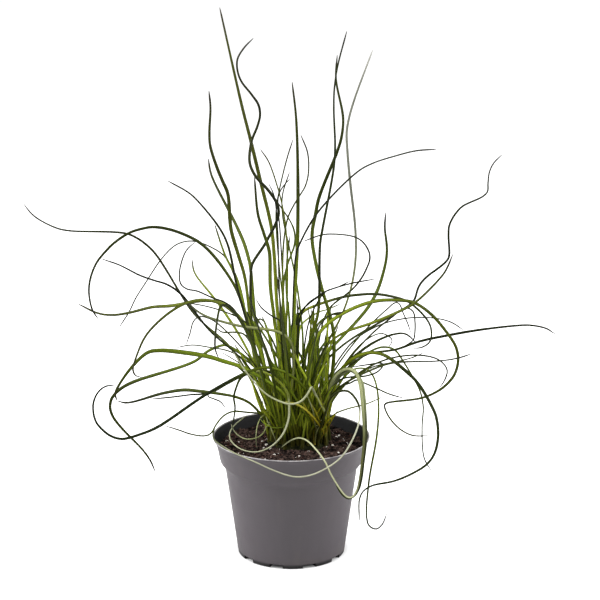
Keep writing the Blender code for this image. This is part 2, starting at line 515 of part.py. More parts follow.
def inner_wall():
    """Return the pot's inner wall as radius and height pairs, from the floor up."""
    lean = (POT_WALL_TOP_RADIUS - POT_BASE_RADIUS) / POT_WALL_TOP_Z
    return (
        (POT_BASE_RADIUS - POT_WALL + lean * POT_FLOOR, POT_FLOOR),
        (POT_WALL_TOP_RADIUS - POT_WALL, POT_WALL_TOP_Z + POT_INNER_STEP_RISE),
        (POT_BAND_LOW_RADIUS - POT_WALL, POT_BAND_LOW_Z + POT_INNER_STEP_RISE),
        (POT_BAND_TOP_RADIUS - POT_WALL, POT_BAND_TOP_Z + POT_INNER_BAND_RISE),
        (POT_FLARE_RADIUS - POT_WALL, POT_FLARE_Z + POT_INNER_FLARE_RISE),
    )


def build_pot():
    """Make the pot, its floor flat on z = 0, with ten drain notches cut in the edge."""
    profile = (
        (0, 0.0),
        (POT_BASE_RADIUS - POT_BASE_EDGE, 0.0),
        (POT_BASE_RADIUS, POT_BASE_EDGE),
        (POT_WALL_TOP_RADIUS, POT_WALL_TOP_Z),
        (POT_BAND_LOW_RADIUS, POT_BAND_LOW_Z),
        (POT_BAND_TOP_RADIUS, POT_BAND_TOP_Z),
        (POT_FLARE_RADIUS, POT_FLARE_Z),
        (POT_RIM_RADIUS - POT_LIP_SET_IN, POT_HEIGHT - POT_LIP_DEPTH),
        (POT_RIM_RADIUS, POT_HEIGHT - POT_LIP_CHAMFER),
        (POT_RIM_RADIUS - POT_LIP_CHAMFER, POT_HEIGHT),
        (POT_LIP_INNER_RADIUS, POT_HEIGHT - POT_LIP_INNER_DROP),
        *reversed(inner_wall()),
        (0, POT_FLOOR),
    )
    material = make_material("pot_grey", (0.115, 0.105, 0.115), 0.55)
    pot = add_object("pot", *turned_solid(profile, POT_SEGMENTS), material)
    vertices = []
    faces = []
    for index in range(NOTCH_COUNT):
        block, sides = notch_block(NOTCH_FIRST_ANGLE + 2 * math.pi * index / NOTCH_COUNT)
        faces.extend([tuple(corner + len(vertices) for corner in side) for side in sides])
        vertices.extend(block)
    cutter = add_object("notch_cutter", vertices, faces, material)
    cutter.hide_render = True
    cutter.display_type = "WIRE"
    cut = pot.modifiers.new("drain_notches", "BOOLEAN")
    cut.operation = "DIFFERENCE"
    cut.solver = "EXACT"
    cut.object = cutter
    finish_modifiers(pot)
    bpy.data.objects.remove(cutter)
    pot.data.shade_smooth()
    pot.data.set_sharp_from_angle(angle=POT_SMOOTH_ANGLE)
    return pot


def finish_modifiers(obj):
    """Replace an object's mesh by the result of its modifiers."""
    bpy.context.view_layer.update()
    evaluated = obj.evaluated_get(bpy.context.evaluated_depsgraph_get())
    mesh = bpy.data.meshes.new_from_object(evaluated)
    obj.modifiers.clear()
    old = obj.data
    obj.data = mesh
    bpy.data.meshes.remove(old)


def inner_radius(height):
    """Return the pot's inner radius at a height, for the soil to follow."""
    radii, heights = zip(*inner_wall())
    return float(np.interp(height, heights, radii))


def soil_lump(radius, angle):
    """Return the soil's rise or dip at a place outside the crown."""
    wave = math.sin(3 * angle + 0.7) * math.cos(5 * angle - 90 * radius)
    return SOIL_BUMP * (wave + 0.6 * math.sin(260 * radius + 2 * angle))


def build_soil():
    """Make the soil plug, level under the crown and gently uneven around it."""
    floor = POT_FLOOR + GAP
    step_low = POT_WALL_TOP_Z + POT_INNER_STEP_RISE
    step_high = POT_BAND_LOW_Z + POT_INNER_STEP_RISE
    edge_radius = inner_radius(SOIL_TOP_Z) - SOIL_SIDE_GAP
    rows = [
        (inner_radius(floor) - SOIL_SIDE_GAP, floor, 0.0),
        (inner_radius(step_low) - SOIL_SIDE_GAP, step_low + GAP, 0.0),
        (inner_radius(step_high) - SOIL_SIDE_GAP, step_high + GAP, 0.0),
        (edge_radius, SOIL_TOP_Z - SOIL_EDGE_DROP, 0.25),
        (edge_radius - SOIL_SHOULDER_WIDTH, SOIL_TOP_Z + SOIL_SHOULDER_RISE, 1.0),
        (0.5 * (edge_radius + SOIL_PAD_RADIUS) - SOIL_MIDDLE_SET_IN, SOIL_TOP_Z, 1.0),
        (SOIL_PAD_RADIUS, SOIL_TOP_Z, 0.0),
    ]
    vertices = []
    for radius, height, bumpy in rows:
        for step in range(SOIL_SEGMENTS):
            angle = 2 * math.pi * step / SOIL_SEGMENTS
            rise = bumpy * soil_lump(radius, angle)
            vertices.append((radius * math.cos(angle), radius * math.sin(angle), height + rise))
    faces = []
    for row in range(len(rows) - 1):
        for step in range(SOIL_SEGMENTS):
            after = (step + 1) % SOIL_SEGMENTS
            low = row * SOIL_SEGMENTS
            high = low + SOIL_SEGMENTS
            faces.append((low + step, low + after, high + after, high + step))
    faces.append(tuple(range(SOIL_SEGMENTS)))
    last = (len(rows) - 1) * SOIL_SEGMENTS
    faces.append(tuple(range(last, last + SOIL_SEGMENTS)))
    material = make_material("soil_peat", (0.022, 0.014, 0.010), 0.95)
    return add_object("soil", vertices, faces, material, SOIL_SMOOTH_ANGLE)


def crown_height(share, angle):
    """Return how far the crown rises above its edge, at a share of its half-width."""
    dome = 1.0 - share ** 3
    knobs = math.sin(5 * angle + 4 * share) + 0.7 * math.cos(8 * angle - 7 * share)
    return CROWN_RISE * dome * (1.0 + CROWN_KNOBS * knobs * share)


def build_crown():
    """Make the crown, a low knobbly clump with a flat underside."""
    bottom = SOIL_TOP_Z + GAP
    centre_x, centre_y = CROWN_CENTRE
    vertices = [(centre_x, centre_y, bottom)]
    rows = [(1.0, bottom)] + [(share, None) for share in reversed(CROWN_STEPS)]
    for share, height in rows:
        for step in range(CROWN_SEGMENTS):
            angle = 2 * math.pi * step / CROWN_SEGMENTS
            z = height
            if z is None:
                z = bottom + CROWN_EDGE + crown_height(share, angle)
            vertices.append((
                centre_x + share * CROWN_HALF_WIDTH * math.cos(angle),
                centre_y + share * CROWN_HALF_DEPTH * math.sin(angle),
                z,
            ))
    vertices.append((centre_x, centre_y, bottom + CROWN_EDGE + crown_height(0.0, 0.0)))
    top = len(vertices) - 1
    faces = []
    for step in range(CROWN_SEGMENTS):
        after = (step + 1) % CROWN_SEGMENTS
        faces.append((0, 1 + after, 1 + step))
        for row in range(len(rows) - 1):
            low = 1 + row * CROWN_SEGMENTS
            high = low + CROWN_SEGMENTS
            faces.append((low + step, low + after, high + after, high + step))
        last = 1 + (len(rows) - 1) * CROWN_SEGMENTS
        faces.append((last + step, last + after, top))
    material = make_material("crown_sheath", (0.11, 0.09, 0.03), 0.7)
    return add_object("crown", vertices, faces, material, CROWN_SMOOTH_ANGLE)


def sight_point(across, up, depth):
    """Return the place in space of a route point, all in metres."""
    scale = (SIGHT_DISTANCE + depth) / SIGHT_DISTANCE
    return np.array((
        SIGHT_SIDE + (across - SIGHT_SIDE) * scale,
        depth,
        SIGHT_HEIGHT + (up - SIGHT_HEIGHT) * scale,
    ))


def route_points(stem):
    """Return the places in space of a stem's route, its low part set back with the crown."""
    places = []
    for index, (across, up, depth) in enumerate(stem.route):
        share = SET_BACK_SHARES[index] if index < len(SET_BACK_SHARES) else 0.0
        places.append(sight_point(across * MM, up * MM, depth * MM + share * TUFT_SET_BACK))
    return places


def slide(points, offsets):
    """Slide points along the line of sight, so that the view from the front stays."""
    scale = (SIGHT_DISTANCE + points[:, 1] + offsets) / (SIGHT_DISTANCE + points[:, 1])
    moved = np.empty_like(points)
    moved[:, 0] = SIGHT_SIDE + (points[:, 0] - SIGHT_SIDE) * scale
    moved[:, 1] = points[:, 1] + offsets
    moved[:, 2] = SIGHT_HEIGHT + (points[:, 2] - SIGHT_HEIGHT) * scale
    return moved


def seen_plane(points):
    """Return where points appear in the upright plane through the pot's axis."""
    scale = SIGHT_DISTANCE / (SIGHT_DISTANCE + points[:, 1])
    across = SIGHT_SIDE + (points[:, 0] - SIGHT_SIDE) * scale
    up = SIGHT_HEIGHT + (points[:, 2] - SIGHT_HEIGHT) * scale
    return np.stack((across, up), axis=1)


def root_spots(count):
    """Return evenly scattered places in the crown's outline, one per stem."""
    spots = []
    for index in range(count):
        share = ROOT_FILL * math.sqrt((index + 0.5) / count)
        angle = index * GOLDEN_ANGLE
        spots.append((
            CROWN_CENTRE[0] + ROOT_HALF_WIDTH * share * math.cos(angle),
            CROWN_CENTRE[1] + ROOT_HALF_DEPTH * share * math.sin(angle),
        ))
    return spots


def assign_spots(stems):
    """Give each stem a root spot near to where its route starts.

    The spots are dealt out in order and then swapped between stems for as long as a
    swap brings the two nearer to their routes, so that few stems have to cross low down.
    """
    spots = root_spots(len(stems))
    wishes = [route_points(stem)[0][:2] for stem in stems]
    cost = [[float(np.sum((wish - np.array(spot)) ** 2)) for spot in spots] for wish in wishes]
    choice = list(range(len(stems)))
    swapped = True
    while swapped:
        swapped = False
        for a in range(len(stems)):
            for b in range(a + 1, len(stems)):
                now = cost[a][choice[a]] + cost[b][choice[b]]
                after = cost[a][choice[b]] + cost[b][choice[a]]
                if after < now - 1e-12:
                    choice[a], choice[b] = choice[b], choice[a]
                    swapped = True
    return [spots[index] for index in choice]


def root_level(tree, spot, radius):
    """Return the height just above the crown where a stem of this radius can start."""
    highest = 0.0
    for step in range(9):
        reach = 0.0 if step == 8 else radius
        angle = math.pi * step / 4
        start = Vector((
            spot[0] + reach * math.cos(angle),
            spot[1] + reach * math.sin(angle),
            POT_HEIGHT * 2,
        ))
        hit, _, _, _ = tree.ray_cast(start, Vector((0, 0, -1)))
        if hit is not None:
            highest = max(highest, hit.z)
    return highest + GAP


def smooth_curve(points, spacing):
    """Return evenly spaced points on a smooth curve through the given ones."""
    points = np.array(points)
    ends = np.vstack((2 * points[0] - points[1], points, 2 * points[-1] - points[-2]))
    knots = np.concatenate(((0.0,), np.cumsum(np.sqrt(np.linalg.norm(np.diff(ends, axis=0), axis=1)))))
    dense = []
    for index in range(1, len(ends) - 2):
        start, stop = knots[index], knots[index + 1]
        for at in np.linspace(start, stop, SPAN_SAMPLES, endpoint=False):
            dense.append(centripetal_point(ends, knots, index, at))
    dense.append(points[-1])
    dense = np.array(dense)
    lengths = np.concatenate(((0.0,), np.cumsum(np.linalg.norm(np.diff(dense, axis=0), axis=1))))
    count = max(8, int(lengths[-1] / spacing))
    wanted = np.linspace(0.0, lengths[-1], count)
    return np.stack([np.interp(wanted, lengths, dense[:, axis]) for axis in range(3)], axis=1)


def centripetal_point(points, knots, index, at):
    """Return one point of a Catmull-Rom span whose knots are unevenly spaced."""
    p0, p1, p2, p3 = points[index - 1:index + 3]
    t0, t1, t2, t3 = knots[index - 1:index + 3]
    a1 = (t1 - at) / (t1 - t0) * p0 + (at - t0) / (t1 - t0) * p1
    a2 = (t2 - at) / (t2 - t1) * p1 + (at - t1) / (t2 - t1) * p2
    a3 = (t3 - at) / (t3 - t2) * p2 + (at - t2) / (t3 - t2) * p3
    b1 = (t2 - at) / (t2 - t0) * a1 + (at - t0) / (t2 - t0) * a2
    b2 = (t3 - at) / (t3 - t1) * a2 + (at - t1) / (t3 - t1) * a3
    return (t2 - at) / (t2 - t1) * b1 + (at - t1) / (t2 - t1) * b2


def facet_points(curve, error):
    """Return the curve points that straight chords need to stay within an error."""
    keep = {0, len(curve) - 1}
    spans = [(0, len(curve) - 1)]
    while spans:
        first, last = spans.pop()
        if last - first < 2:
            continue
        chord = curve[last] - curve[first]
        chord = chord / max(np.linalg.norm(chord), 1e-9)
        between = curve[first + 1:last] - curve[first]
        away = np.linalg.norm(between - np.outer(between @ chord, chord), axis=1)
        worst = int(np.argmax(away))
        if away[worst] > error:
            middle = first + 1 + worst
            keep.add(middle)
            spans.append((first, middle))
            spans.append((middle, last))
    return curve[sorted(keep)]


def stem_radii(points, girth):
    """Return the stem's half-thickness at each of its points."""
    steps = np.linalg.norm(np.diff(points, axis=0), axis=1)
    share = np.concatenate(((0.0,), np.cumsum(steps))) / steps.sum()
    return girth.tip + (girth.root - girth.tip) * (1.0 - share ** TAPER_POWER)


class Contact(NamedTuple):
    """A place where two stems cross as seen from the front.

    Each side is a stem, the chord's first point and the share along that chord.
    """

    first: tuple
    second: tuple
    need: float
    order: float


def chord_samples(points, radii):
    """Return sample places on each chord: point index, share, seen place and radius."""
    seen = seen_plane(points)
    samples = []
    run = 0.0
    for index in range(len(points) - 1):
        length = float(np.linalg.norm(points[index + 1] - points[index]))
        count = max(1, int(math.ceil(length / PARTING_STEP)))
        for step in range(count):
            share = step / count
            place = seen[index] * (1 - share) + seen[index + 1] * share
            radius = radii[index] * (1 - share) + radii[index + 1] * share
            samples.append((index, share, place[0], place[1], radius, run + share * length))
        run += length
    samples.append((len(points) - 2, 1.0, seen[-1][0], seen[-1][1], radii[-1], run))
    return np.array(samples)


def pair_contacts(a, b, sample_a, sample_b, depth_a, depth_b):
    """Return the contacts of two stems, each run of them in one order front to back."""
    reach = sample_a[:, None, 4] + sample_b[None, :, 4]
    reach = SCALE_MARGIN * reach + CLEARANCE
    apart = np.hypot(
        sample_a[:, None, 2] - sample_b[None, :, 2],
        sample_a[:, None, 3] - sample_b[None, :, 3],
    )
    apart = np.maximum(0.0, apart - PARTING_SLACK * PARTING_STEP)
    rows, columns = np.nonzero(apart < reach)
    if len(rows) == 0:
        return []
    touching = []
    for row, column in zip(rows, columns):
        need = math.sqrt(reach[row, column] ** 2 - apart[row, column] ** 2)
        touching.append((row, column, need))
    contacts = []
    for group in contact_runs(touching):
        contacts.extend(ordered_group(a, b, group, sample_a, sample_b, depth_a, depth_b))
    return contacts


def contact_runs(touching):
    """Split contacts into runs that are unbroken along both stems."""
    groups = [touching]
    for side in (0, 1, 0, 1):
        split = []
        for group in groups:
            ordered = sorted(group, key=lambda contact: contact[side])
            run = [ordered[0]]
            for contact in ordered[1:]:
                if contact[side] - run[-1][side] > RUN_BREAK:
                    split.append(run)
                    run = []
                run.append(contact)
            split.append(run)
        groups = split
    return groups


def ordered_group(a, b, group, sample_a, sample_b, depth_a, depth_b):
    """Return one run of contacts with a common front-to-back order.

    The order is the one the stems have at their roots where the run reaches them.
    """
    balance = 0.0
    for row, column, _ in group:
        low = min(sample_a[row, 5], sample_b[column, 5])
        weight = 1.0 + ROOT_WEIGHT * math.exp(-low / ROOT_WEIGHT_REACH)
        balance += weight * (depth_b[column] - depth_a[row])
    order = 1.0 if balance >= 0 else -1.0
    return [
        Contact(
            (a, int(sample_a[row, 0]), float(sample_a[row, 1])),
            (b, int(sample_b[column, 0]), float(sample_b[column, 1])),
            need,
            order,
        )
        for row, column, need in group
    ]


def sample_depths(samples, depths):
    """Return the depth at each sample, read along the chords."""
    index = samples[:, 0].astype(int)
    share = samples[:, 1]
    return depths[index] * (1 - share) + depths[index + 1] * share


def part_stems(stems, radii):
    """Part crossing stems along the line of sight until they clear each other.

    Args:
        stems: one array of ring centres per stem.
        radii: one array of half-thicknesses per stem.

    Returns:
        The moved ring centres. Each root stays where it is.
    """
    samples = [chord_samples(points, radius) for points, radius in zip(stems, radii)]
    depths = [points[:, 1] for points in stems]
    contacts = []
    for a in range(len(stems)):
        depth_a = sample_depths(samples[a], depths[a])
        for b in range(a + 1, len(stems)):
            depth_b = sample_depths(samples[b], depths[b])
            contacts.extend(pair_contacts(a, b, samples[a], samples[b], depth_a, depth_b))
    starts = np.concatenate(((0,), np.cumsum([len(points) for points in stems])))[:-1]
    ring_a = np.array([starts[c.first[0]] + c.first[1] for c in contacts])
    share_a = np.array([c.first[2] for c in contacts])
    ring_b = np.array([starts[c.second[0]] + c.second[1] for c in contacts])
    share_b = np.array([c.second[2] for c in contacts])
    need = np.array([c.need for c in contacts])
    order = np.array([c.order for c in contacts])
    base = np.concatenate(depths)
    offset = np.zeros_like(base)
    fixed = np.zeros(len(base), dtype=bool)
    fixed[starts] = True
    inside = np.ones(len(base), dtype=bool)
    inside[starts] = False
    inside[starts + np.array([len(points) for points in stems]) - 1] = False
    middle = np.nonzero(inside)[0]
    for _ in range(PARTING_ROUNDS):
        depth = base + offset
        depth_a = depth[ring_a] * (1 - share_a) + depth[ring_a + 1] * share_a
        depth_b = depth[ring_b] * (1 - share_b) + depth[ring_b + 1] * share_b
        lack = need - order * (depth_b - depth_a)
        short = lack > 0
        if not short.any():
            break
        push = 0.5 * lack[short] * order[short]
        move_up = np.zeros_like(base)
        move_down = np.zeros_like(base)
        for ring, share, amount in (
            (ring_a[short], share_a[short], -push),
            (ring_b[short], share_b[short], push),
        ):
            for index, weight in ((ring, 1 - share), (ring + 1, share)):
                shift = amount * np.minimum(1.0, PARTING_GAIN * weight)
                np.maximum.at(move_up, index, shift)
                np.minimum.at(move_down, index, shift)
        move = move_up + move_down
        stronger = np.where(
            np.abs(move[middle - 1]) > np.abs(move[middle + 1]),
            move[middle - 1],
            move[middle + 1],
        )
        move[middle] = PARTING_OWN_SHARE * move[middle] + (1 - PARTING_OWN_SHARE) * stronger
        offset += move
        even = 0.5 * (offset[middle - 1] + offset[middle + 1])
        offset[middle] += PARTING_EASE * (even - offset[middle])
        offset[fixed] = 0.0
    moved = []
    for index, points in enumerate(stems):
        first = starts[index]
        moved.append(slide(points, offset[first:first + len(points)]))
    return moved


def tube_mesh(points, radii, sides):
    """Return vertices and faces of a closed tapering tube through ring centres."""
    directions = np.gradient(points, axis=0)
    directions[0] = (0.0, 0.0, 1.0)
    directions /= np.linalg.norm(directions, axis=1)[:, None]
    swell = 1.0 / math.sqrt(math.sin(2 * math.pi / sides) * sides / (2 * math.pi))
    normal = np.array((1.0, 0.0, 0.0))
    vertices = []
    for point, direction, radius in zip(points, directions, radii):
        normal = normal - direction * (normal @ direction)
        normal = normal / np.linalg.norm(normal)
        across = np.cross(direction, normal)
        for step in range(sides):
            angle = 2 * math.pi * (step + 0.5) / sides
            arm = math.cos(angle) * normal + math.sin(angle) * across
            vertices.append(tuple(point + radius * swell * arm))
    faces = []
    for ring in range(len(points) - 1):
        low = ring * sides
        high = low + sides
        for step in range(sides):
            after = (step + 1) % sides
            faces.append((low + step, low + after, high + after, high + step))
    faces.append(tuple(reversed(range(sides))))
    last = (len(points) - 1) * sides
    faces.append(tuple(range(last, last + sides)))
    return vertices, faces


def lay_out_stems(crown):
    """Return ring centres and half-thicknesses of every stem, clear of each other."""
    bpy.context.view_layer.update()
    tree = BVHTree.FromObject(crown, bpy.context.evaluated_depsgraph_get())
    spots = assign_spots(STEMS)
    centres = []
    radii = []
    for stem, spot in zip(STEMS, spots):
        girth = GIRTHS[stem.girth]
        root = np.array((spot[0], spot[1], root_level(tree, spot, girth.root * ROOT_MARGIN)))
        route = route_points(stem)
        lead = root + (route[0] - root) * np.array((ROOT_LEAN, ROOT_LEAN, ROOT_LEAD))
        curve = smooth_curve([root, lead] + route, CHORD_STEP)
        rings = facet_points(curve, CHORD_ERROR)
        centres.append(rings)
        radii.append(stem_radii(rings, girth))
    return part_stems(centres, radii), radii


def build_stems(crown):
    """Make every stem as one closed tapering tube."""
    centres, radii = lay_out_stems(crown)
    for stem, points, radius in zip(STEMS, centres, radii):
        sides = GIRTHS[stem.girth].sides
        material = make_material(stem.name.replace("stem_", "rush_"), stem.colour, 0.5)
        add_object(stem.name, *tube_mesh(points, radius, sides), material, math.pi)


def main():
    """Clear the scene and build the pot, the soil, the crown and the stems."""
    for obj in list(bpy.data.objects):
        bpy.data.objects.remove(obj, do_unlink=True)
    build_pot()
    build_soil()
    crown = build_crown()
    build_stems(crown)


main()
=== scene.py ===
"""Looks of the potted corkscrew rush: skin, sheaths, soil, pot, studio and camera.

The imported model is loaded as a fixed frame. Every piece made here is in metres, in that
frame, with +Z up, the pot standing on z = 0 and the viewer on the side of -Y.
"""

import json
import logging
import math
from dataclasses import dataclass, field, replace
from enum import Enum

import bmesh
import bpy
import numpy as np
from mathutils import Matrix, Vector, noise


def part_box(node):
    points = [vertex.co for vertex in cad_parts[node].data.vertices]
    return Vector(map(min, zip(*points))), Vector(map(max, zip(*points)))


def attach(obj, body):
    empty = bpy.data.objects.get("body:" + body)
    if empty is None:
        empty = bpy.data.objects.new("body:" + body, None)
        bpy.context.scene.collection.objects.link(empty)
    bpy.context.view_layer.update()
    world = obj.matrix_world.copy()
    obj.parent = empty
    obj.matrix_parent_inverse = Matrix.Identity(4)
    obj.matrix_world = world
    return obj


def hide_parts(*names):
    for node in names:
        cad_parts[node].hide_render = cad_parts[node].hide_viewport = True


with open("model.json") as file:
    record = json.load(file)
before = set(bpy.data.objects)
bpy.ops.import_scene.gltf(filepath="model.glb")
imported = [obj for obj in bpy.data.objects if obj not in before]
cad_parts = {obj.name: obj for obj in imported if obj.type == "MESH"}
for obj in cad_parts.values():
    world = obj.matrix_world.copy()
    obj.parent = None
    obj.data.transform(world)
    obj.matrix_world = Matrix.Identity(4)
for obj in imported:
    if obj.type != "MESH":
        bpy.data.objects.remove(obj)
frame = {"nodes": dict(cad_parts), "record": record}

LOG = logging.getLogger("rush")
MM = 0.001

Colour = tuple[float, float, float]
Point = tuple[float, float, float]

# Where the viewer stands: the camera's place, from which the fine stems' routes are laid out.
VIEWER: Point = (0.0067, -1.327, 0.542)
SIGHT = np.array(VIEWER)

# Points of a mesh that lie closer together than this, in metres, count as one.
TOLERANCE = 1e-5


class Graph:
    """Writes nodes into one node tree."""

    def __init__(self, tree: bpy.types.NodeTree) -> None:
        """Keep the tree to write into."""
        self.tree = tree

    def add(self, kind: str, values: dict | None = None, **settings) -> bpy.types.Node:
        """Add one node.

        Args:
            kind: the node's type.
            values: what its inputs get, by name or number: a socket is linked, anything
                else is set.
            settings: the node's own options.

        Returns:
            The new node.
        """
        node = self.tree.nodes.new(kind)
        for name, value in settings.items():
            setattr(node, name, value)
        for name, value in (values or {}).items():
            self.feed(node.inputs[name], value)
        return node

    def feed(self, socket: bpy.types.NodeSocket, value: object) -> None:
        """Link a socket to another one, or set its value.

        Args:
            socket: the input socket.
            value: the output socket to link it to, or its new value.
        """
        if isinstance(value, bpy.types.NodeSocket):
            self.tree.links.new(value, socket)
        else:
            socket.default_value = value

    def math(self, operation: str, first: object, second: object = 0.0) -> bpy.types.NodeSocket:
        """Return the result of a Math node."""
        return self.add("ShaderNodeMath", {0: first, 1: second}, operation=operation).outputs[0]

    def scaled(self, value: object, factor: float, offset: float) -> bpy.types.NodeSocket:
        """Return a value times a factor plus an offset."""
        inputs = {0: value, 1: factor, 2: offset}
        return self.add("ShaderNodeMath", inputs, operation="MULTIPLY_ADD").outputs[0]

    def ramp(self, value: object, low: object, high: object) -> bpy.types.NodeSocket:
        """Ease a value from 0 to 1.

        Args:
            value: the value.
            low: where the result is 0.
            high: where the result is 1.

        Returns:
            The eased value.
        """
        node = self.add(
            "ShaderNodeMapRange",
            {"Value": value, "From Min": low, "From Max": high},
            interpolation_type="SMOOTHSTEP",
        )
        return node.outputs["Result"]

    def blend(self, share: object, first: object, second: object) -> bpy.types.NodeSocket:
        """Mix two colours.

        Args:
            share: how much of the second colour there is.
            first: the first colour.
            second: the second colour.

        Returns:
            The mixed colour.
        """
        node = self.add("ShaderNodeMix", data_type="RGBA")
        self.feed(node.inputs["Factor"], share)
        self.feed(node.inputs[6], first)
        self.feed(node.inputs[7], second)
        return node.outputs[2]

    def noise(self, place: object, scale: float, detail: float = 3.0) -> bpy.types.NodeSocket:
        """Return a noise value at a place."""
        node = self.add("ShaderNodeTexNoise", {"Vector": place, "Scale": scale, "Detail": detail})
        return node.outputs["Fac"]

    def place(self) -> bpy.types.NodeSocket:
        """Return the piece's own coordinates."""
        return self.add("ShaderNodeTexCoord").outputs["Object"]

    def attribute(self, name: str, output: str = "Fac") -> bpy.types.NodeSocket:
        """Return one output of a named attribute of the piece."""
        return self.add("ShaderNodeAttribute", attribute_name=name).outputs[output]


def opaque(colour: Colour) -> tuple[float, float, float, float]:
    """Return a colour with full opacity added."""
    return (*colour, 1.0)


def new_group(name: str, kind: str, inputs: dict[str, str], outputs: dict[str, str]) -> bpy.types.NodeTree:
    """Make an empty node group with named sockets.

    Args:
        name: the group's name.
        kind: the type of node tree.
        inputs: socket type by input name.
        outputs: socket type by output name.

    Returns:
        The group.
    """
    tree = bpy.data.node_groups.new(name, kind)
    for label, socket in inputs.items():
        tree.interface.new_socket(label, in_out="INPUT", socket_type=socket)
    for label, socket in outputs.items():
        tree.interface.new_socket(label, in_out="OUTPUT", socket_type=socket)
    return tree


FLOAT = "NodeSocketFloat"
COLOUR = "NodeSocketColor"
GEOMETRY = "NodeSocketGeometry"


@dataclass(frozen=True)
class GrainPattern:
    """A fine uneven grain, as moulded plastic has, and broad patches of it."""

    fine_detail: float = 4.0
    patch_scale: float = 0.05
    patch_detail: float = 3.0
    patch_range: tuple[float, float] = (0.35, 0.65)

    def group(self) -> bpy.types.NodeTree:
        """Make the shader group.

        Returns:
            The group, with the input Scale and the outputs Height and Patches.
        """
        tree = new_group(
            "fine_grain", "ShaderNodeTree", {"Scale": FLOAT}, {"Height": FLOAT, "Patches": FLOAT}
        )
        graph = Graph(tree)
        scale = graph.add("NodeGroupInput").outputs[0]
        place = graph.place()
        fine = graph.noise(place, scale, self.fine_detail)
        coarse = graph.noise(place, graph.math("MULTIPLY", scale, self.patch_scale), self.patch_detail)
        graph.add("NodeGroupOutput", {0: fine, 1: graph.ramp(coarse, *self.patch_range)})
        return tree


@dataclass(frozen=True)
class StemPattern:
    """How a stem's colour changes from its root on, and how it is mottled and ribbed.

    Its shader group reads the attributes reach, the metres from the root, share, the same
    as a part of the whole, tone, each stem's own lightness, and around, the place in the
    section.
    """

    low_range: tuple[float, float] = (0.004, 0.020)
    middle_range: tuple[float, float] = (0.034, 0.066)
    mottle_scale: float = 160.0
    mottle_detail: float = 4.0
    drift: float = 0.01
    tone_light: float = 0.42
    tone_hue: float = -0.012
    fleck_light: float = 0.25
    rib_count: float = 14.0

    def group(self) -> bpy.types.NodeTree:
        """Make the shader group.

        Returns:
            The group, with the outputs Colour, Ribs and Dryness.
        """
        colours = dict.fromkeys(("Sheath", "Low", "Middle", "Upper", "Tip"), COLOUR)
        places = dict.fromkeys(("Upper From", "Upper To", "Tip From", "Tip To"), FLOAT)
        tree = new_group(
            "stem_skin",
            "ShaderNodeTree",
            {**colours, **places},
            {"Colour": COLOUR, "Ribs": FLOAT, "Dryness": FLOAT},
        )
        graph = Graph(tree)
        given = graph.add("NodeGroupInput").outputs
        mottle = graph.noise(graph.place(), self.mottle_scale, self.mottle_detail)
        drift = graph.scaled(mottle, 2 * self.drift, -self.drift)
        reach = graph.math("ADD", graph.attribute("reach"), drift)
        colour = graph.blend(graph.ramp(reach, *self.low_range), given["Sheath"], given["Low"])
        colour = graph.blend(graph.ramp(reach, *self.middle_range), colour, given["Middle"])
        upward = graph.ramp(reach, given["Upper From"], given["Upper To"])
        colour = graph.blend(upward, colour, given["Upper"])
        dryness = graph.ramp(graph.attribute("share"), given["Tip From"], given["Tip To"])
        colour = graph.blend(dryness, colour, given["Tip"])
        tone = graph.attribute("tone")
        flecks = graph.scaled(mottle, 2 * self.fleck_light, 1.0 - self.fleck_light)
        light = graph.math("MULTIPLY", graph.scaled(tone, self.tone_light, 1.0), flecks)
        hue = graph.scaled(tone, self.tone_hue, 0.5)
        toned = graph.add("ShaderNodeHueSaturation", {"Hue": hue, "Value": light, "Color": colour})
        around = graph.add("ShaderNodeSeparateXYZ", {0: graph.attribute("around", "Vector")})
        angle = graph.math("ARCTAN2", around.outputs[1], around.outputs[0])
        ribs = graph.math("SINE", graph.math("MULTIPLY", angle, self.rib_count))
        graph.add("NodeGroupOutput", {"Colour": toned.outputs["Color"], "Ribs": ribs, "Dryness": dryness})
        return tree


# The shader groups that several finishes share, each made once.
GRAIN_GROUP = GrainPattern().group()
STEM_GROUP = StemPattern().group()


def start_material(name: str) -> tuple[bpy.types.Material, Graph, bpy.types.Node]:
    """Make a new material.

    Args:
        name: the material's name.

    Returns:
        The material, its graph and its shader.
    """
    material = bpy.data.materials.new(name)
    material.use_nodes = True
    graph = Graph(material.node_tree)
    return material, graph, material.node_tree.nodes["Principled BSDF"]


@dataclass(frozen=True)
class Relief:
    """Small bumps of a finish: how strong they are and how high in metres."""

    strength: float
    distance: float

    def cover(
        self,
        graph: Graph,
        shader: bpy.types.Node,
        surface: dict[str, bpy.types.NodeSocket],
        height: bpy.types.NodeSocket,
        specular: float,
    ) -> None:
        """Feed a shader its surface and its bumps.

        Args:
            graph: the material's graph.
            shader: the material's shader.
            surface: the sockets that feed the shader's inputs, by input name.
            height: the height of the bumps, from 0 to 1.
            specular: the shader's specular level.
        """
        values = {"Height": height, "Strength": self.strength, "Distance": self.distance}
        bump = graph.add("ShaderNodeBump", values)
        for name, socket in surface.items():
            graph.feed(shader.inputs[name], socket)
        graph.feed(shader.inputs["Normal"], bump.outputs["Normal"])
        shader.inputs["Specular IOR Level"].default_value = specular


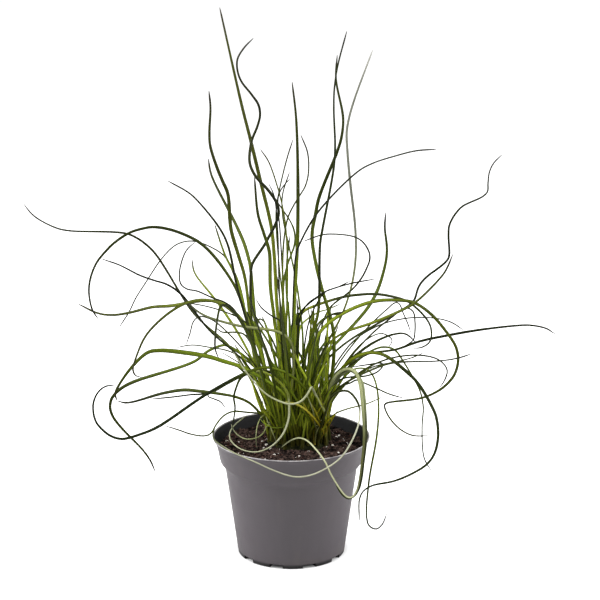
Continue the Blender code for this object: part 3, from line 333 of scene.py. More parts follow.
@dataclass(frozen=True)
class StemFinish:
    """Living skin of a rush stem, ribbed along its length, from its sheath to its tip, with painted shade
    along its outline.
    """

    name: str
    sheath: Colour
    low: Colour
    middle: Colour
    upper: Colour
    tip: Colour
    # edge is the colour of the painted shade along the stem's outline, where the skin turns away from the
    # viewer.
    edge: Colour = (0.005, 0.008, 0.001)
    edge_shade_strength: float = 0.85
    upper_from: float = 0.085
    upper_to: float = 0.19
    tip_from: float = 0.9
    tip_to: float = 1.0
    roughness: float = 0.42
    dry_roughness: float = 0.3
    edge_shade_range: tuple[float, float] = (0.20, 0.74)
    specular: float = 0.05
    relief: Relief = Relief(0.25, 0.00008)

    def material(self) -> bpy.types.Material:
        """Make the finish's material, with painted shade where the skin turns away from the viewer.

        Returns:
            The material.
        """
        material, graph, shader = start_material(self.name)
        values = {
            "Sheath": opaque(self.sheath),
            "Low": opaque(self.low),
            "Middle": opaque(self.middle),
            "Upper": opaque(self.upper),
            "Tip": opaque(self.tip),
            "Upper From": self.upper_from,
            "Upper To": self.upper_to,
            "Tip From": self.tip_from,
            "Tip To": self.tip_to,
        }
        skin = graph.add("ShaderNodeGroup", values, node_tree=STEM_GROUP).outputs
        # Painted shade: the colour turns towards edge where the skin faces away from the viewer.
        facing = graph.add("ShaderNodeLayerWeight").outputs["Facing"]
        edge = graph.math("MULTIPLY", graph.ramp(facing, *self.edge_shade_range), self.edge_shade_strength)
        surface = {
            "Base Color": graph.blend(edge, skin["Colour"], opaque(self.edge)),
            "Roughness": graph.scaled(skin["Dryness"], self.dry_roughness, self.roughness),
        }
        self.relief.cover(graph, shader, surface, skin["Ribs"], self.specular)
        return material


@dataclass(frozen=True)
class PlasticFinish:
    """Matt grey moulded plastic: fine grain and faint dust, with painted shade inside and along the foot
    and a pale painted highlight on the lip.
    """

    name: str
    colour: Colour
    dust: Colour
    painted_lip_highlight: Colour
    # inside is the colour of the painted shade on the faces that look towards the pot's axis.
    inside: Colour
    # foot is the colour of a painted shadow along the pot's bottom edge.
    foot: Colour
    # lip_range is the height band of the painted highlight on the lip's top.
    lip_range: tuple[float, float]
    foot_shade_range: tuple[float, float]
    roughness: float
    grain_scale: float = 1400.0
    grain_roughness: float = 0.08
    streak_stretch: Point = (1.0, 1.0, 0.15)
    streak_scale: float = 90.0
    streak_range: tuple[float, float] = (0.52, 0.75)
    streak_dust: float = 0.10
    low_range: tuple[float, float] = (0.0, 0.02)
    low_dust: float = 0.12
    lip_highlight_scale: float = 150.0
    lip_highlight_range: tuple[float, float] = (0.2, 0.6)
    inward_range: tuple[float, float] = (-0.3, -0.8)
    specular: float = 0.36
    relief: Relief = Relief(0.25, 0.0001)

    def material(self) -> bpy.types.Material:
        """Make the finish's material.

        Returns:
            The material.
        """
        material, graph, shader = start_material(self.name)
        grain = graph.add("ShaderNodeGroup", {"Scale": self.grain_scale}, node_tree=GRAIN_GROUP).outputs
        place = graph.place()
        height = graph.add("ShaderNodeSeparateXYZ", {0: place}).outputs["Z"]
        inward = self.inward(graph, place)
        dusty = graph.math("MULTIPLY", self.dustiness(graph, place, height), grain["Patches"])
        colour = graph.blend(dusty, opaque(self.colour), opaque(self.dust))
        # Painted shade: the faces that look towards the axis take the near-black inside colour.
        colour = graph.blend(inward, colour, opaque(self.inside))
        # Painted shadow: below about four millimetres the wall darkens, fully foot-coloured from about two
        # millimetres down.
        colour = graph.blend(graph.ramp(height, *self.foot_shade_range), colour, opaque(self.foot))
        # Painted highlight: the top of the lip turns pale, broken up by noise.
        lip_highlight_noise = graph.ramp(graph.noise(place, self.lip_highlight_scale, 4.0), *self.lip_highlight_range)
        lip_highlight_mask = graph.math("MULTIPLY", graph.ramp(height, *self.lip_range), lip_highlight_noise)
        rough = graph.scaled(grain["Patches"], self.grain_roughness, self.roughness)
        surface = {
            "Base Color": graph.blend(lip_highlight_mask, colour, opaque(self.painted_lip_highlight)),
            "Roughness": graph.math("MAXIMUM", rough, inward),
        }
        self.relief.cover(graph, shader, surface, grain["Height"], self.specular)
        return material

    def dustiness(
        self, graph: Graph, place: bpy.types.NodeSocket, height: bpy.types.NodeSocket
    ) -> bpy.types.NodeSocket:
        """Make the mask of the dust, which lies in upright streaks and near the ground.

        Args:
            graph: the material's graph.
            place: the piece's own coordinates.
            height: the height above the ground.

        Returns:
            How much dust there is.
        """
        stretched = graph.add("ShaderNodeMapping", {"Vector": place, "Scale": self.streak_stretch})
        streaks = graph.noise(stretched.outputs[0], self.streak_scale, 5.0)
        streaks = graph.math("MULTIPLY", graph.ramp(streaks, *self.streak_range), self.streak_dust)
        low = graph.math("SUBTRACT", 1.0, graph.ramp(height, *self.low_range))
        return graph.math("ADD", streaks, graph.math("MULTIPLY", low, self.low_dust))

    def inward(self, graph: Graph, place: bpy.types.NodeSocket) -> bpy.types.NodeSocket:
        """Make the mask of the faces that look towards the pot's axis.

        Args:
            graph: the material's graph.
            place: the piece's own coordinates.

        Returns:
            The mask.
        """
        flat = graph.add("ShaderNodeVectorMath", {0: place, 1: (1.0, 1.0, 0.0)}, operation="MULTIPLY")
        outward = graph.add("ShaderNodeVectorMath", {0: flat.outputs[0]}, operation="NORMALIZE")
        facing = graph.add("ShaderNodeNewGeometry").outputs["Normal"]
        along = graph.add(
            "ShaderNodeVectorMath", {0: outward.outputs[0], 1: facing}, operation="DOT_PRODUCT"
        )
        return graph.ramp(along.outputs["Value"], *self.inward_range)


@dataclass(frozen=True)
class EarthFinish:
    """Something crumbly and dull, of two mixed colours, such as peat or perlite."""

    name: str
    dark: Colour
    light: Colour
    scale: float
    roughness: float
    relief: Relief
    patch_range: tuple[float, float] = (0.35, 0.68)
    fine_scale: float = 3.1
    fine_roughness: float = 0.15
    specular: float = 0.06

    def material(self) -> bpy.types.Material:
        """Make the finish's material.

        Returns:
            The material.
        """
        material, graph, shader = start_material(self.name)
        place = graph.place()
        patches = graph.ramp(graph.noise(place, self.scale, 5.0), *self.patch_range)
        fine = graph.noise(place, self.scale * self.fine_scale, 4.0)
        surface = {
            "Base Color": graph.blend(patches, opaque(self.dark), opaque(self.light)),
            "Roughness": graph.scaled(fine, self.fine_roughness, self.roughness),
        }
        self.relief.cover(graph, shader, surface, fine, self.specular)
        return material


@dataclass(frozen=True)
class FloorFinish:
    """Plain pale studio floor that the camera sees as nearly white, but not under the pot, and darker close
    around it: painted shade where the glow fades out.
    """

    name: str
    colour: Colour
    glow: float
    # Painted shade: within this distance of the pot's axis the glow fades out, so the floor darkens around
    # the pot's foot.
    glow_range: tuple[float, float] = (0.034, 0.050)
    roughness: float = 0.9

    def material(self) -> bpy.types.Material:
        """Make the finish's material.

        Returns:
            The material.
        """
        material, graph, shader = start_material(self.name)
        seen = graph.add("ShaderNodeLightPath").outputs["Is Camera Ray"]
        away = graph.add("ShaderNodeVectorMath", {0: graph.place()}, operation="LENGTH").outputs["Value"]
        shown = graph.math("MULTIPLY", seen, graph.ramp(away, *self.glow_range))
        shader.inputs["Base Color"].default_value = opaque(self.colour)
        shader.inputs["Roughness"].default_value = self.roughness
        shader.inputs["Specular IOR Level"].default_value = 0.0
        shader.inputs["Emission Color"].default_value = (1.0, 1.0, 1.0, 1.0)
        graph.feed(shader.inputs["Emission Strength"], graph.math("MULTIPLY", shown, self.glow))
        return material


class Skin(Enum):
    """The finishes of a stem, by the material slot that they stand for."""

    GREEN = "stem_green"
    OLIVE = "stem_olive"
    DARK = "stem_dark"
    PALE = "stem_pale"


# In every stem finish, edge is the colour of the painted shade along the stem's outline.
# The cream skin that a few stems have from their root on.
CREAM_FINISH = StemFinish(
    "rush_cream",
    sheath=(0.140, 0.145, 0.035),
    low=(0.340, 0.370, 0.150),
    middle=(0.400, 0.420, 0.250),
    upper=(0.400, 0.420, 0.260),
    tip=(0.340, 0.340, 0.230),
    edge=(0.120, 0.130, 0.060),
    edge_shade_strength=0.6,
)

SKINS = {
    Skin.GREEN: StemFinish(
        "rush_green",
        sheath=(0.128, 0.146, 0.020),
        low=(0.322, 0.392, 0.030),
        middle=(0.214, 0.284, 0.018),
        upper=(0.038, 0.049, 0.005),
        tip=(0.036, 0.034, 0.014),
        upper_from=0.080,
        upper_to=0.20,
    ),
    Skin.OLIVE: StemFinish(
        "rush_olive",
        sheath=(0.096, 0.109, 0.016),
        low=(0.238, 0.288, 0.024),
        middle=(0.148, 0.194, 0.015),
        upper=(0.026, 0.033, 0.004),
        tip=(0.024, 0.022, 0.012),
        edge=(0.004, 0.006, 0.002),
        upper_from=0.080,
        upper_to=0.22,
    ),
    Skin.DARK: StemFinish(
        "rush_dark",
        sheath=(0.056, 0.063, 0.012),
        low=(0.114, 0.138, 0.016),
        middle=(0.055, 0.073, 0.012),
        upper=(0.014, 0.018, 0.005),
        tip=(0.020, 0.019, 0.013),
        edge=(0.005, 0.006, 0.003),
        upper_from=0.060,
        upper_to=0.14,
    ),
    Skin.PALE: CREAM_FINISH,
}

# The skin of stems that are green up to their bend and nearly black beyond it.
DARKENING_FINISH = StemFinish(
    "rush_darkening",
    sheath=(0.140, 0.145, 0.012),
    low=(0.250, 0.290, 0.010),
    middle=(0.200, 0.245, 0.012),
    upper=(0.020, 0.028, 0.006),
    tip=(0.030, 0.030, 0.022),
    upper_from=0.080,
    upper_to=0.135,
)

# The skin of the thick stem that hangs over the rim: sage at its bend, dark green below it
# and cream from its lowest point on.
DROOP_FINISH = StemFinish(
    "rush_thick_droop",
    sheath=(0.060, 0.062, 0.010),
    low=(0.150, 0.175, 0.010),
    middle=(0.215, 0.240, 0.118),
    upper=(0.062, 0.068, 0.024),
    tip=(0.330, 0.345, 0.210),
    edge=(0.030, 0.040, 0.010),
    edge_shade_strength=0.8,
    upper_from=0.108,
    upper_to=0.146,
    tip_from=0.59,
    tip_to=0.67,
)
DROOP_SIDE_FINISH = replace(
    DROOP_FINISH,
    name="rush_droop_side",
    tip=(0.030, 0.034, 0.014),
    edge_shade_strength=0.9,
    tip_from=0.5,
    tip_to=0.7,
)

# The stems that look unlike the others of their material slot.
OWN_FINISHES = {
    "stem_left_long_diagonal": DARKENING_FINISH,
    "stem_right_droop_loop": DARKENING_FINISH,
    "stem_right_tall_straight": DARKENING_FINISH,
    "stem_right_upper_arch": DARKENING_FINISH,
    "stem_curl_companion": SKINS[Skin.DARK],
    "stem_far_right_zigzag": SKINS[Skin.DARK],
    "stem_inner_loop": SKINS[Skin.DARK],
    "stem_left_low_arch": SKINS[Skin.DARK],
    "stem_right_low_reach": SKINS[Skin.DARK],
    "stem_right_mid_arch": SKINS[Skin.DARK],
    # The stem across the front is pale in its middle stretch.
    "stem_front_horizontal": StemFinish(
        "rush_faded",
        sheath=(0.105, 0.108, 0.010),
        low=(0.210, 0.240, 0.008),
        middle=(0.190, 0.215, 0.070),
        upper=(0.110, 0.125, 0.060),
        tip=(0.060, 0.062, 0.040),
        edge=(0.030, 0.036, 0.014),
    ),
    "stem_soil_loop": StemFinish(
        "rush_soil_loop",
        sheath=(0.060, 0.062, 0.010),
        low=(0.130, 0.150, 0.008),
        middle=(0.150, 0.180, 0.012),
        upper=(0.400, 0.410, 0.265),
        tip=(0.360, 0.360, 0.250),
        edge=(0.120, 0.125, 0.065),
        edge_shade_strength=0.6,
        upper_from=0.100,
        upper_to=0.125,
    ),
    "stem_front_thick_droop": DROOP_FINISH,
    "stem_rim_loop": StemFinish(
        "rush_rim_loop",
        sheath=(0.035, 0.032, 0.010),
        low=(0.030, 0.034, 0.007),
        middle=(0.014, 0.018, 0.005),
        upper=(0.300, 0.305, 0.222),
        tip=(0.060, 0.072, 0.024),
        edge=(0.050, 0.060, 0.024),
        edge_shade_strength=0.7,
        upper_from=0.090,
        upper_to=0.106,
        tip_from=0.38,
    ),
    "stem_right_faint_tall": StemFinish(
        "rush_faint",
        sheath=(0.085, 0.088, 0.010),
        low=(0.150, 0.175, 0.010),
        middle=(0.080, 0.100, 0.012),
        upper=(0.100, 0.105, 0.082),
        tip=(0.260, 0.260, 0.230),
        edge=(0.060, 0.064, 0.050),
        edge_shade_strength=0.6,
        upper_from=0.070,
    ),
}

# The finishes of the sheaths, the dry stems, the pot, the soil, the crown and the floor.
SHEATH_FINISH = StemFinish(
    "rush_sheath",
    sheath=(0.050, 0.048, 0.009),
    low=(0.110, 0.120, 0.009),
    middle=(0.150, 0.170, 0.009),
    upper=(0.150, 0.170, 0.012),
    tip=(0.120, 0.120, 0.016),
    roughness=0.6,
)
DRY_FINISH = StemFinish(
    "rush_dry",
    sheath=(0.230, 0.180, 0.022),
    low=(0.360, 0.330, 0.016),
    middle=(0.260, 0.270, 0.050),
    upper=(0.180, 0.200, 0.050),
    tip=(0.180, 0.175, 0.070),
    edge=(0.040, 0.030, 0.008),
    roughness=0.5,
)
PLASTIC_FINISH = PlasticFinish(
    "pot_grey_plastic",
    colour=(0.077, 0.067, 0.075),
    dust=(0.150, 0.130, 0.112),
    # The next three colours are painted light: a highlight on the lip, shade inside the pot and a shadow
    # along its bottom edge.
    painted_lip_highlight=(0.360, 0.345, 0.350),
    inside=(0.008, 0.008, 0.009),
    foot=(0.006, 0.005, 0.006),
    lip_range=(0.0921, 0.0927),
    foot_shade_range=(0.0042, 0.00189),
    roughness=0.46,
)
PEAT_FINISH = EarthFinish(
    "dark_peat", (0.003, 0.002, 0.0014), (0.022, 0.013, 0.011), 420.0, 0.85, Relief(0.6, 0.0006)
)
CRUMB_FINISH = EarthFinish(
    "peat_crumb", (0.004, 0.0026, 0.0022), (0.088, 0.056, 0.046), 240.0, 0.8, Relief(0.6, 0.0003)
)
CHIP_FINISH = EarthFinish(
    "bark_chip", (0.070, 0.038, 0.030), (0.300, 0.200, 0.170), 300.0, 0.75, Relief(0.6, 0.0002)
)
PERLITE_FINISH = EarthFinish(
    "white_perlite", (0.46, 0.42, 0.37), (0.84, 0.82, 0.77), 900.0, 0.8, Relief(0.6, 0.0002)
)
FIBRE_FINISH = EarthFinish(
    "red_peat_fibre", (0.060, 0.016, 0.012), (0.200, 0.062, 0.040), 500.0, 0.75, Relief(0.6, 0.0002)
)
# The crown's colours are nearly black: painted shade of the tuft's dense middle over its dark old bases.
CLUMP_FINISH = EarthFinish(
    "crown_clump", (0.004, 0.005, 0.002), (0.020, 0.022, 0.006), 260.0, 0.8, Relief(0.6, 0.0005)
)
FLOOR_FINISH = FloorFinish("studio_floor", (0.60, 0.60, 0.60), 0.80)


def link_mesh(name: str, mesh: bpy.types.Mesh) -> bpy.types.Object:
    """Put a mesh in the scene as a new object at the origin.

    Args:
        name: the object's name.
        mesh: the mesh.

    Returns:
        The new object.
    """
    piece = bpy.data.objects.new(name, mesh)
    bpy.context.collection.objects.link(piece)
    return piece


def build_mesh(name: str, vertices: list, faces: list, smooth: bool = True) -> bpy.types.Object:
    """Make a mesh object whose faces point outward.

    Args:
        name: the object's name.
        vertices: positions in metres.
        faces: lists of vertex numbers.
        smooth: whether the faces are shaded smooth.

    Returns:
        The new object.
    """
    mesh = bpy.data.meshes.new(name)
    mesh.from_pydata([tuple(v) for v in vertices], [], [tuple(f) for f in faces])
    work = bmesh.new()
    work.from_mesh(mesh)
    bmesh.ops.recalc_face_normals(work, faces=work.faces)
    work.to_mesh(mesh)
    work.free()
    if smooth:
        mesh.shade_smooth()
    return link_mesh(name, mesh)


def settle(piece: bpy.types.Object) -> None:
    """Replace a piece's mesh by the result of its modifiers, and take these away.

    Args:
        piece: the piece, which is changed.
    """
    bpy.context.view_layer.update()
    evaluated = piece.evaluated_get(bpy.context.evaluated_depsgraph_get())
    mesh = bpy.data.meshes.new_from_object(evaluated)
    piece.modifiers.clear()
    old = piece.data
    piece.data = mesh
    bpy.data.meshes.remove(old)


def dress(piece: bpy.types.Object, material: bpy.types.Material) -> None:
    """Give a piece one material."""
    piece.data.materials.clear()
    piece.data.materials.append(material)


def hand_over(piece: bpy.types.Object, stands_for: tuple[str, ...] = ()) -> None:
    """Make a finished piece ride on the body and replace its nodes.

    Args:
        piece: the piece.
        stands_for: the names of the nodes that it replaces.
    """
    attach(piece, "root")
    if stands_for:
        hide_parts(*stands_for)
    LOG.info("%s: %d faces", piece.name, len(piece.data.polygons))


def add_nodes_modifier(
    piece: bpy.types.Object, tree: bpy.types.NodeTree, values: dict[str, object]
) -> None:
    """Add a Geometry Nodes modifier and set its inputs.

    Args:
        piece: the object that gets the modifier.
        tree: the node tree.
        values: what each named input gets.
    """
    modifier = piece.modifiers.new(tree.name, "NODES")
    modifier.node_group = tree
    for socket in tree.interface.items_tree:
        if socket.in_out == "INPUT" and socket.name in values:
            modifier[socket.identifier] = values[socket.name]


def end_tree(graph: Graph, shapes: bpy.types.NodeSocket, material: bpy.types.NodeSocket) -> None:
    """End a geometry tree: make its shapes real and give them their material.

    Args:
        graph: the tree's graph.
        shapes: the shapes.
        material: their material.
    """
    real = graph.add("GeometryNodeRealizeInstances", {"Geometry": shapes}).outputs[0]
    dressed = graph.add("GeometryNodeSetMaterial", {"Geometry": real, "Material": material})
    graph.add("NodeGroupOutput", {0: dressed.outputs[0]})


def make_sweep_tree() -> bpy.types.NodeTree:
    """Make the tree that turns routes into round tubes as thick as their attribute girth.

    Returns:
        The tree, with the inputs Routes, Sides and Skin and the output Tubes.
    """
    tree = new_group(
        "stem_sweep",
        "GeometryNodeTree",
        {"Routes": GEOMETRY, "Sides": "NodeSocketInt", "Skin": "NodeSocketMaterial"},
        {"Tubes": GEOMETRY},
    )
    graph = Graph(tree)
    given = graph.add("NodeGroupInput").outputs
    section = graph.add("GeometryNodeCurvePrimitiveCircle", {"Resolution": given["Sides"], "Radius": 1.0})
    marked = graph.add(
        "GeometryNodeStoreNamedAttribute",
        {
            "Geometry": section.outputs["Curve"],
            "Name": "around",
            "Value": graph.add("GeometryNodeInputPosition").outputs[0],
        },
        data_type="FLOAT_VECTOR",
        domain="POINT",
    )
    girth = graph.add("GeometryNodeInputNamedAttribute", {"Name": "girth"}, data_type="FLOAT")
    routes = graph.add("GeometryNodeMeshToCurve", {"Mesh": given["Routes"]})
    tubes = graph.add(
        "GeometryNodeCurveToMesh",
        {
            "Curve": routes.outputs[0],
            "Profile Curve": marked.outputs[0],
            "Scale": girth.outputs["Attribute"],
            "Fill Caps": True,
        },
    )
    smooth = graph.add("GeometryNodeSetShadeSmooth", {"Geometry": tubes.outputs[0]})
    end_tree(graph, smooth.outputs[0], given["Skin"])
    return tree


# The least and the most that a strewn shape is squeezed along its axes and turned about them.
LEAST_SQUEEZE = (0.7, 0.7, 0.6)
MOST_SQUEEZE = (1.3, 1.2, 1.0)
LEAST_TURN = (-1.0, -1.0, -3.14)
MOST_TURN = (1.0, 1.0, 3.14)


def make_scatter_tree() -> bpy.types.NodeTree:
    """Make the tree that strews small shapes over a surface.

    Returns:
        The tree, whose inputs are the surface, the shape, how dense and how large the
        shapes lie, how far they tumble, the seed and the material.
    """
    tree = new_group(
        "strewn_bits",
        "GeometryNodeTree",
        {
            "Ground": GEOMETRY,
            "Shape": "NodeSocketObject",
            **dict.fromkeys(("Density", "Spacing", "Smallest", "Largest", "Tumble"), FLOAT),
            "Seed": "NodeSocketInt",
            "Finish": "NodeSocketMaterial",
        },
        {"Bits": GEOMETRY},
    )
    graph = Graph(tree)
    given = graph.add("NodeGroupInput").outputs
    points = graph.add(
        "GeometryNodeDistributePointsOnFaces",
        {
            "Mesh": given["Ground"],
            "Distance Min": given["Spacing"],
            "Density Max": given["Density"],
            "Seed": given["Seed"],
        },
        distribute_method="POISSON",
    )
    shape = graph.add("GeometryNodeObjectInfo", {"Object": given["Shape"], "As Instance": True})
    size = graph.add(
        "FunctionNodeRandomValue",
        {2: given["Smallest"], 3: given["Largest"], "Seed": given["Seed"]},
        data_type="FLOAT",
    )
    squeeze = graph.add(
        "FunctionNodeRandomValue", {0: LEAST_SQUEEZE, 1: MOST_SQUEEZE}, data_type="FLOAT_VECTOR"
    )
    scale = graph.add(
        "ShaderNodeVectorMath", {0: squeeze.outputs[0], "Scale": size.outputs[1]}, operation="SCALE"
    )
    spin = graph.add("FunctionNodeRandomValue", {0: LEAST_TURN, 1: MOST_TURN}, data_type="FLOAT_VECTOR")
    tumble = graph.add("ShaderNodeCombineXYZ", {0: given["Tumble"], 1: given["Tumble"], 2: 1.0})
    turn = graph.add(
        "ShaderNodeVectorMath", {0: spin.outputs[0], 1: tumble.outputs[0]}, operation="MULTIPLY"
    )
    turned = graph.add("FunctionNodeEulerToRotation", {0: turn.outputs[0]})
    placed = graph.add(
        "GeometryNodeInstanceOnPoints",
        {
            "Points": points.outputs["Points"],
            "Instance": shape.outputs["Geometry"],
            "Rotation": turned.outputs[0],
            "Scale": scale.outputs[0],
        },
    )
    end_tree(graph, placed.outputs[0], given["Finish"])
    return tree


# The turn between one scattered place and the next, with which they spread evenly.
GOLDEN_ANGLE = math.radians(137.508)


@dataclass(frozen=True)
class Clump:
    """Where the stems stand: the outline of the crown's solid."""

    centre: tuple[float, float]
    half_width: float
    half_depth: float
    ground: float
    margin: float = 0.91
    root_lift: float = 0.0024

    @classmethod
    def from_frame(cls) -> "Clump":
        """Read the outline from the crown's solid.

        Returns:
            The clump, in metres.
        """
        low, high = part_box("crown")
        return cls(
            centre=((low[0] + high[0]) / 2, (low[1] + high[1]) / 2),
            half_width=(high[0] - low[0]) / 2,
            half_depth=(high[1] - low[1]) / 2,
            ground=low[2] + cls.root_lift,
        )

    def share(self, x: float, y: float) -> float:
        """Return how far out a place is, 0 at the middle and 1 at the edge."""
        return math.hypot((x - self.centre[0]) / self.half_width, (y - self.centre[1]) / self.half_depth)

    def spot(self, number: int, count: int, turn: float) -> np.ndarray:
        """Choose one of a number of evenly scattered places inside the outline.

        Args:
            number: which of the places it is.
            count: the number of places.
            turn: how far the whole pattern is turned, in radians.

        Returns:
            The place in metres, at the height of the roots.
        """
        share = self.margin * math.sqrt((number + 0.5) / count)
        angle = number * GOLDEN_ANGLE + turn
        return np.array((
            self.centre[0] + self.half_width * share * math.cos(angle),
            self.centre[1] + self.half_depth * share * math.sin(angle),
            self.ground,
        ))


@dataclass
class Route:
    """One stem's centre line with its half-thickness, and its own lightness."""

    points: np.ndarray
    girths: np.ndarray
    tone: float

    def reach(self) -> np.ndarray:
        """Return the metres from the root at each point."""
        steps = np.linalg.norm(np.diff(self.points, axis=0), axis=1)
        return np.concatenate(((0.0,), np.cumsum(steps)))


# Points on each span of a smooth line before they are spaced evenly, and the fewest after it.
SPAN_SAMPLES = 12
FEWEST_POINTS = 6

# The shortest step that a smooth line counts with.
LEAST_GAP = 1e-6

# How round a drawn-out tip is: at 1 it would be a plain cone.
TIP_ROUNDNESS = 0.6


def smooth_line(points: np.ndarray, spacing: float) -> tuple[np.ndarray, np.ndarray]:
    """Return evenly spaced points on a smooth curve through the given ones.

    Args:
        points: the points to pass through.
        spacing: metres between the new points.

    Returns:
        The new points, and for each its place among the given ones as a number from 0.
    """
    ends = np.vstack((2 * points[0] - points[1], points, 2 * points[-1] - points[-2]))
    gaps = np.sqrt(np.linalg.norm(np.diff(ends, axis=0), axis=1))
    knots = np.concatenate(((0.0,), np.cumsum(np.maximum(gaps, LEAST_GAP))))
    dense = []
    places = []
    for index in range(1, len(ends) - 2):
        for share in np.linspace(0.0, 1.0, SPAN_SAMPLES, endpoint=False):
            dense.append(catmull_rom(ends, knots, index, share))
            places.append(index - 1 + share)
    dense.append(points[-1])
    places.append(len(points) - 1.0)
    dense = np.array(dense)
    lengths = np.concatenate(((0.0,), np.cumsum(np.linalg.norm(np.diff(dense, axis=0), axis=1))))
    count = max(FEWEST_POINTS, int(math.ceil(lengths[-1] / spacing)) + 1)
    wanted = np.linspace(0.0, lengths[-1], count)
    line = np.stack([np.interp(wanted, lengths, dense[:, axis]) for axis in range(3)], axis=1)
    return line, np.interp(wanted, lengths, places)


def catmull_rom(points: np.ndarray, knots: np.ndarray, index: int, share: float) -> np.ndarray:
    """Find one point of a centripetal Catmull-Rom span.

    Args:
        points: the points to pass through, with one more at each end.
        knots: each point's place along the line.
        index: the number of the span's first point.
        share: how far along the span the new point lies.

    Returns:
        The new point.
    """
    p0, p1, p2, p3 = points[index - 1:index + 3]
    t0, t1, t2, t3 = knots[index - 1:index + 3]
    at = t1 + (t2 - t1) * share
    a1 = (t1 - at) / (t1 - t0) * p0 + (at - t0) / (t1 - t0) * p1
    a2 = (t2 - at) / (t2 - t1) * p1 + (at - t1) / (t2 - t1) * p2
    a3 = (t3 - at) / (t3 - t2) * p2 + (at - t2) / (t3 - t2) * p3
    b1 = (t2 - at) / (t2 - t0) * a1 + (at - t0) / (t2 - t0) * a2
    b2 = (t3 - at) / (t3 - t1) * a2 + (at - t1) / (t3 - t1) * a3
    return (t2 - at) / (t2 - t1) * b1 + (at - t1) / (t2 - t1) * b2


def sight_point(across: float, up: float, depth: float) -> np.ndarray:
    """Return the place in space of a route point.

    Args:
        across: millimetres sideways in the upright plane through the pot's axis.
        up: millimetres above the ground in that plane.
        depth: millimetres that the point lies behind that plane, along the line of sight.

    Returns:
        The place in metres.
    """
    in_plane = np.array((across * MM, 0.0, up * MM))
    return SIGHT + (in_plane - SIGHT) * (depth * MM - SIGHT[1]) / -SIGHT[1]


def draw_out(girths: np.ndarray, reach: np.ndarray, tip_length: float, tip_girth: float) -> np.ndarray:
    """Draw the last stretch of a stem out to a point.

    Args:
        girths: the stem's half-thickness at each point.
        reach: the metres from its root at each point.
        tip_length: the length of the last stretch.
        tip_girth: the half-thickness of the point.

    Returns:
        The new half-thicknesses.
    """
    near = np.clip((reach[-1] - reach) / tip_length, 0.0, 1.0) ** TIP_ROUNDNESS
    return tip_girth + (girths - tip_girth) * near


class Sweeper:
    """Turns routes into tubes, with one shared node tree."""

    def __init__(self) -> None:
        """Make the tree."""
        self.tree = make_sweep_tree()

    def sweep(
        self, name: str, routes: list[Route], sides: int, material: bpy.types.Material
    ) -> bpy.types.Object:
        """Make one piece out of tubes.

        Args:
            name: the piece's name.
            routes: the tubes' centre lines.
            sides: the number of sides of each tube.
            material: the tubes' material.

        Returns:
            The piece, a plain mesh.
        """
        points = np.vstack([route.points for route in routes])
        edges = []
        start = 0
        for route in routes:
            count = len(route.points)
            edges.extend((start + step, start + step + 1) for step in range(count - 1))
            start += count
        mesh = bpy.data.meshes.new(name)
        mesh.from_pydata(points.tolist(), edges, [])
        reach = np.concatenate([route.reach() for route in routes])
        share = np.concatenate([route.reach() / route.reach()[-1] for route in routes])
        for label, values in (
            ("girth", np.concatenate([route.girths for route in routes])),
            ("reach", reach),
            ("share", share),
            ("tone", np.concatenate([np.full(len(route.points), route.tone) for route in routes])),
        ):
            mesh.attributes.new(label, "FLOAT", "POINT").data.foreach_set("value", values)
        piece = link_mesh(name, mesh)
        add_nodes_modifier(piece, self.tree, {"Sides": sides, "Skin": material})
        settle(piece)
        return piece


def merged_mesh(node: bpy.types.Object) -> bmesh.types.BMesh:
    """Copy a node's mesh and join its loose triangles.

    Args:
        node: the solid.

    Returns:
        The copy, which the caller frees.
    """
    work = bmesh.new()
    work.from_mesh(node.data)
    bmesh.ops.remove_doubles(work, verts=work.verts, dist=TOLERANCE)
    work.verts.ensure_lookup_table()
    return work


def read_rings(node: bpy.types.Object, low: Vector, high: Vector) -> tuple[np.ndarray, np.ndarray]:
    """Return the ring centres and half-thicknesses of a faceted stem, from its root.

    Args:
        node: the stem's solid, a tube of rings whose first one lies level.
        low: the lowest corner of the crown, in whose outline the first ring lies.
        high: the highest corner of the crown.

    Returns:
        The centres, and the half-thickness at each.
    """
    work = merged_mesh(node)
    rooted = [
        vertex for vertex in work.verts
        if low.x <= vertex.co.x <= high.x and low.y <= vertex.co.y <= high.y
    ]
    ground = min(vertex.co.z for vertex in rooted)
    ring = [vertex for vertex in rooted if vertex.co.z < ground + TOLERANCE]
    seen = set(ring)
    centres = []
    girths = []
    # A ring has the area of the round section, so its corners stand farther out by this factor.
    swell = 1.0 / math.sqrt(math.sin(2 * math.pi / len(ring)) * len(ring) / (2 * math.pi))
    while ring:
        corners = np.array([vertex.co for vertex in ring])
        centre = corners.mean(axis=0)
        centres.append(centre)
        girths.append(np.linalg.norm(corners - centre, axis=1).mean() / swell)
        following = []
        for vertex in ring:
            for edge in vertex.link_edges:
                other = edge.other_vert(vertex)
                if other not in seen:
                    seen.add(other)
                    following.append(other)
        ring = following
    work.free()
    return np.array(centres), np.array(girths)


# Where the stems that get thin past their bend start and end doing so, in metres of reach.
SLIMMING = {
    "stem_front_thick_droop": (0.105, 0.175),
    "stem_rim_loop": (0.086, 0.110),
    "stem_soil_loop": (0.092, 0.160),
}


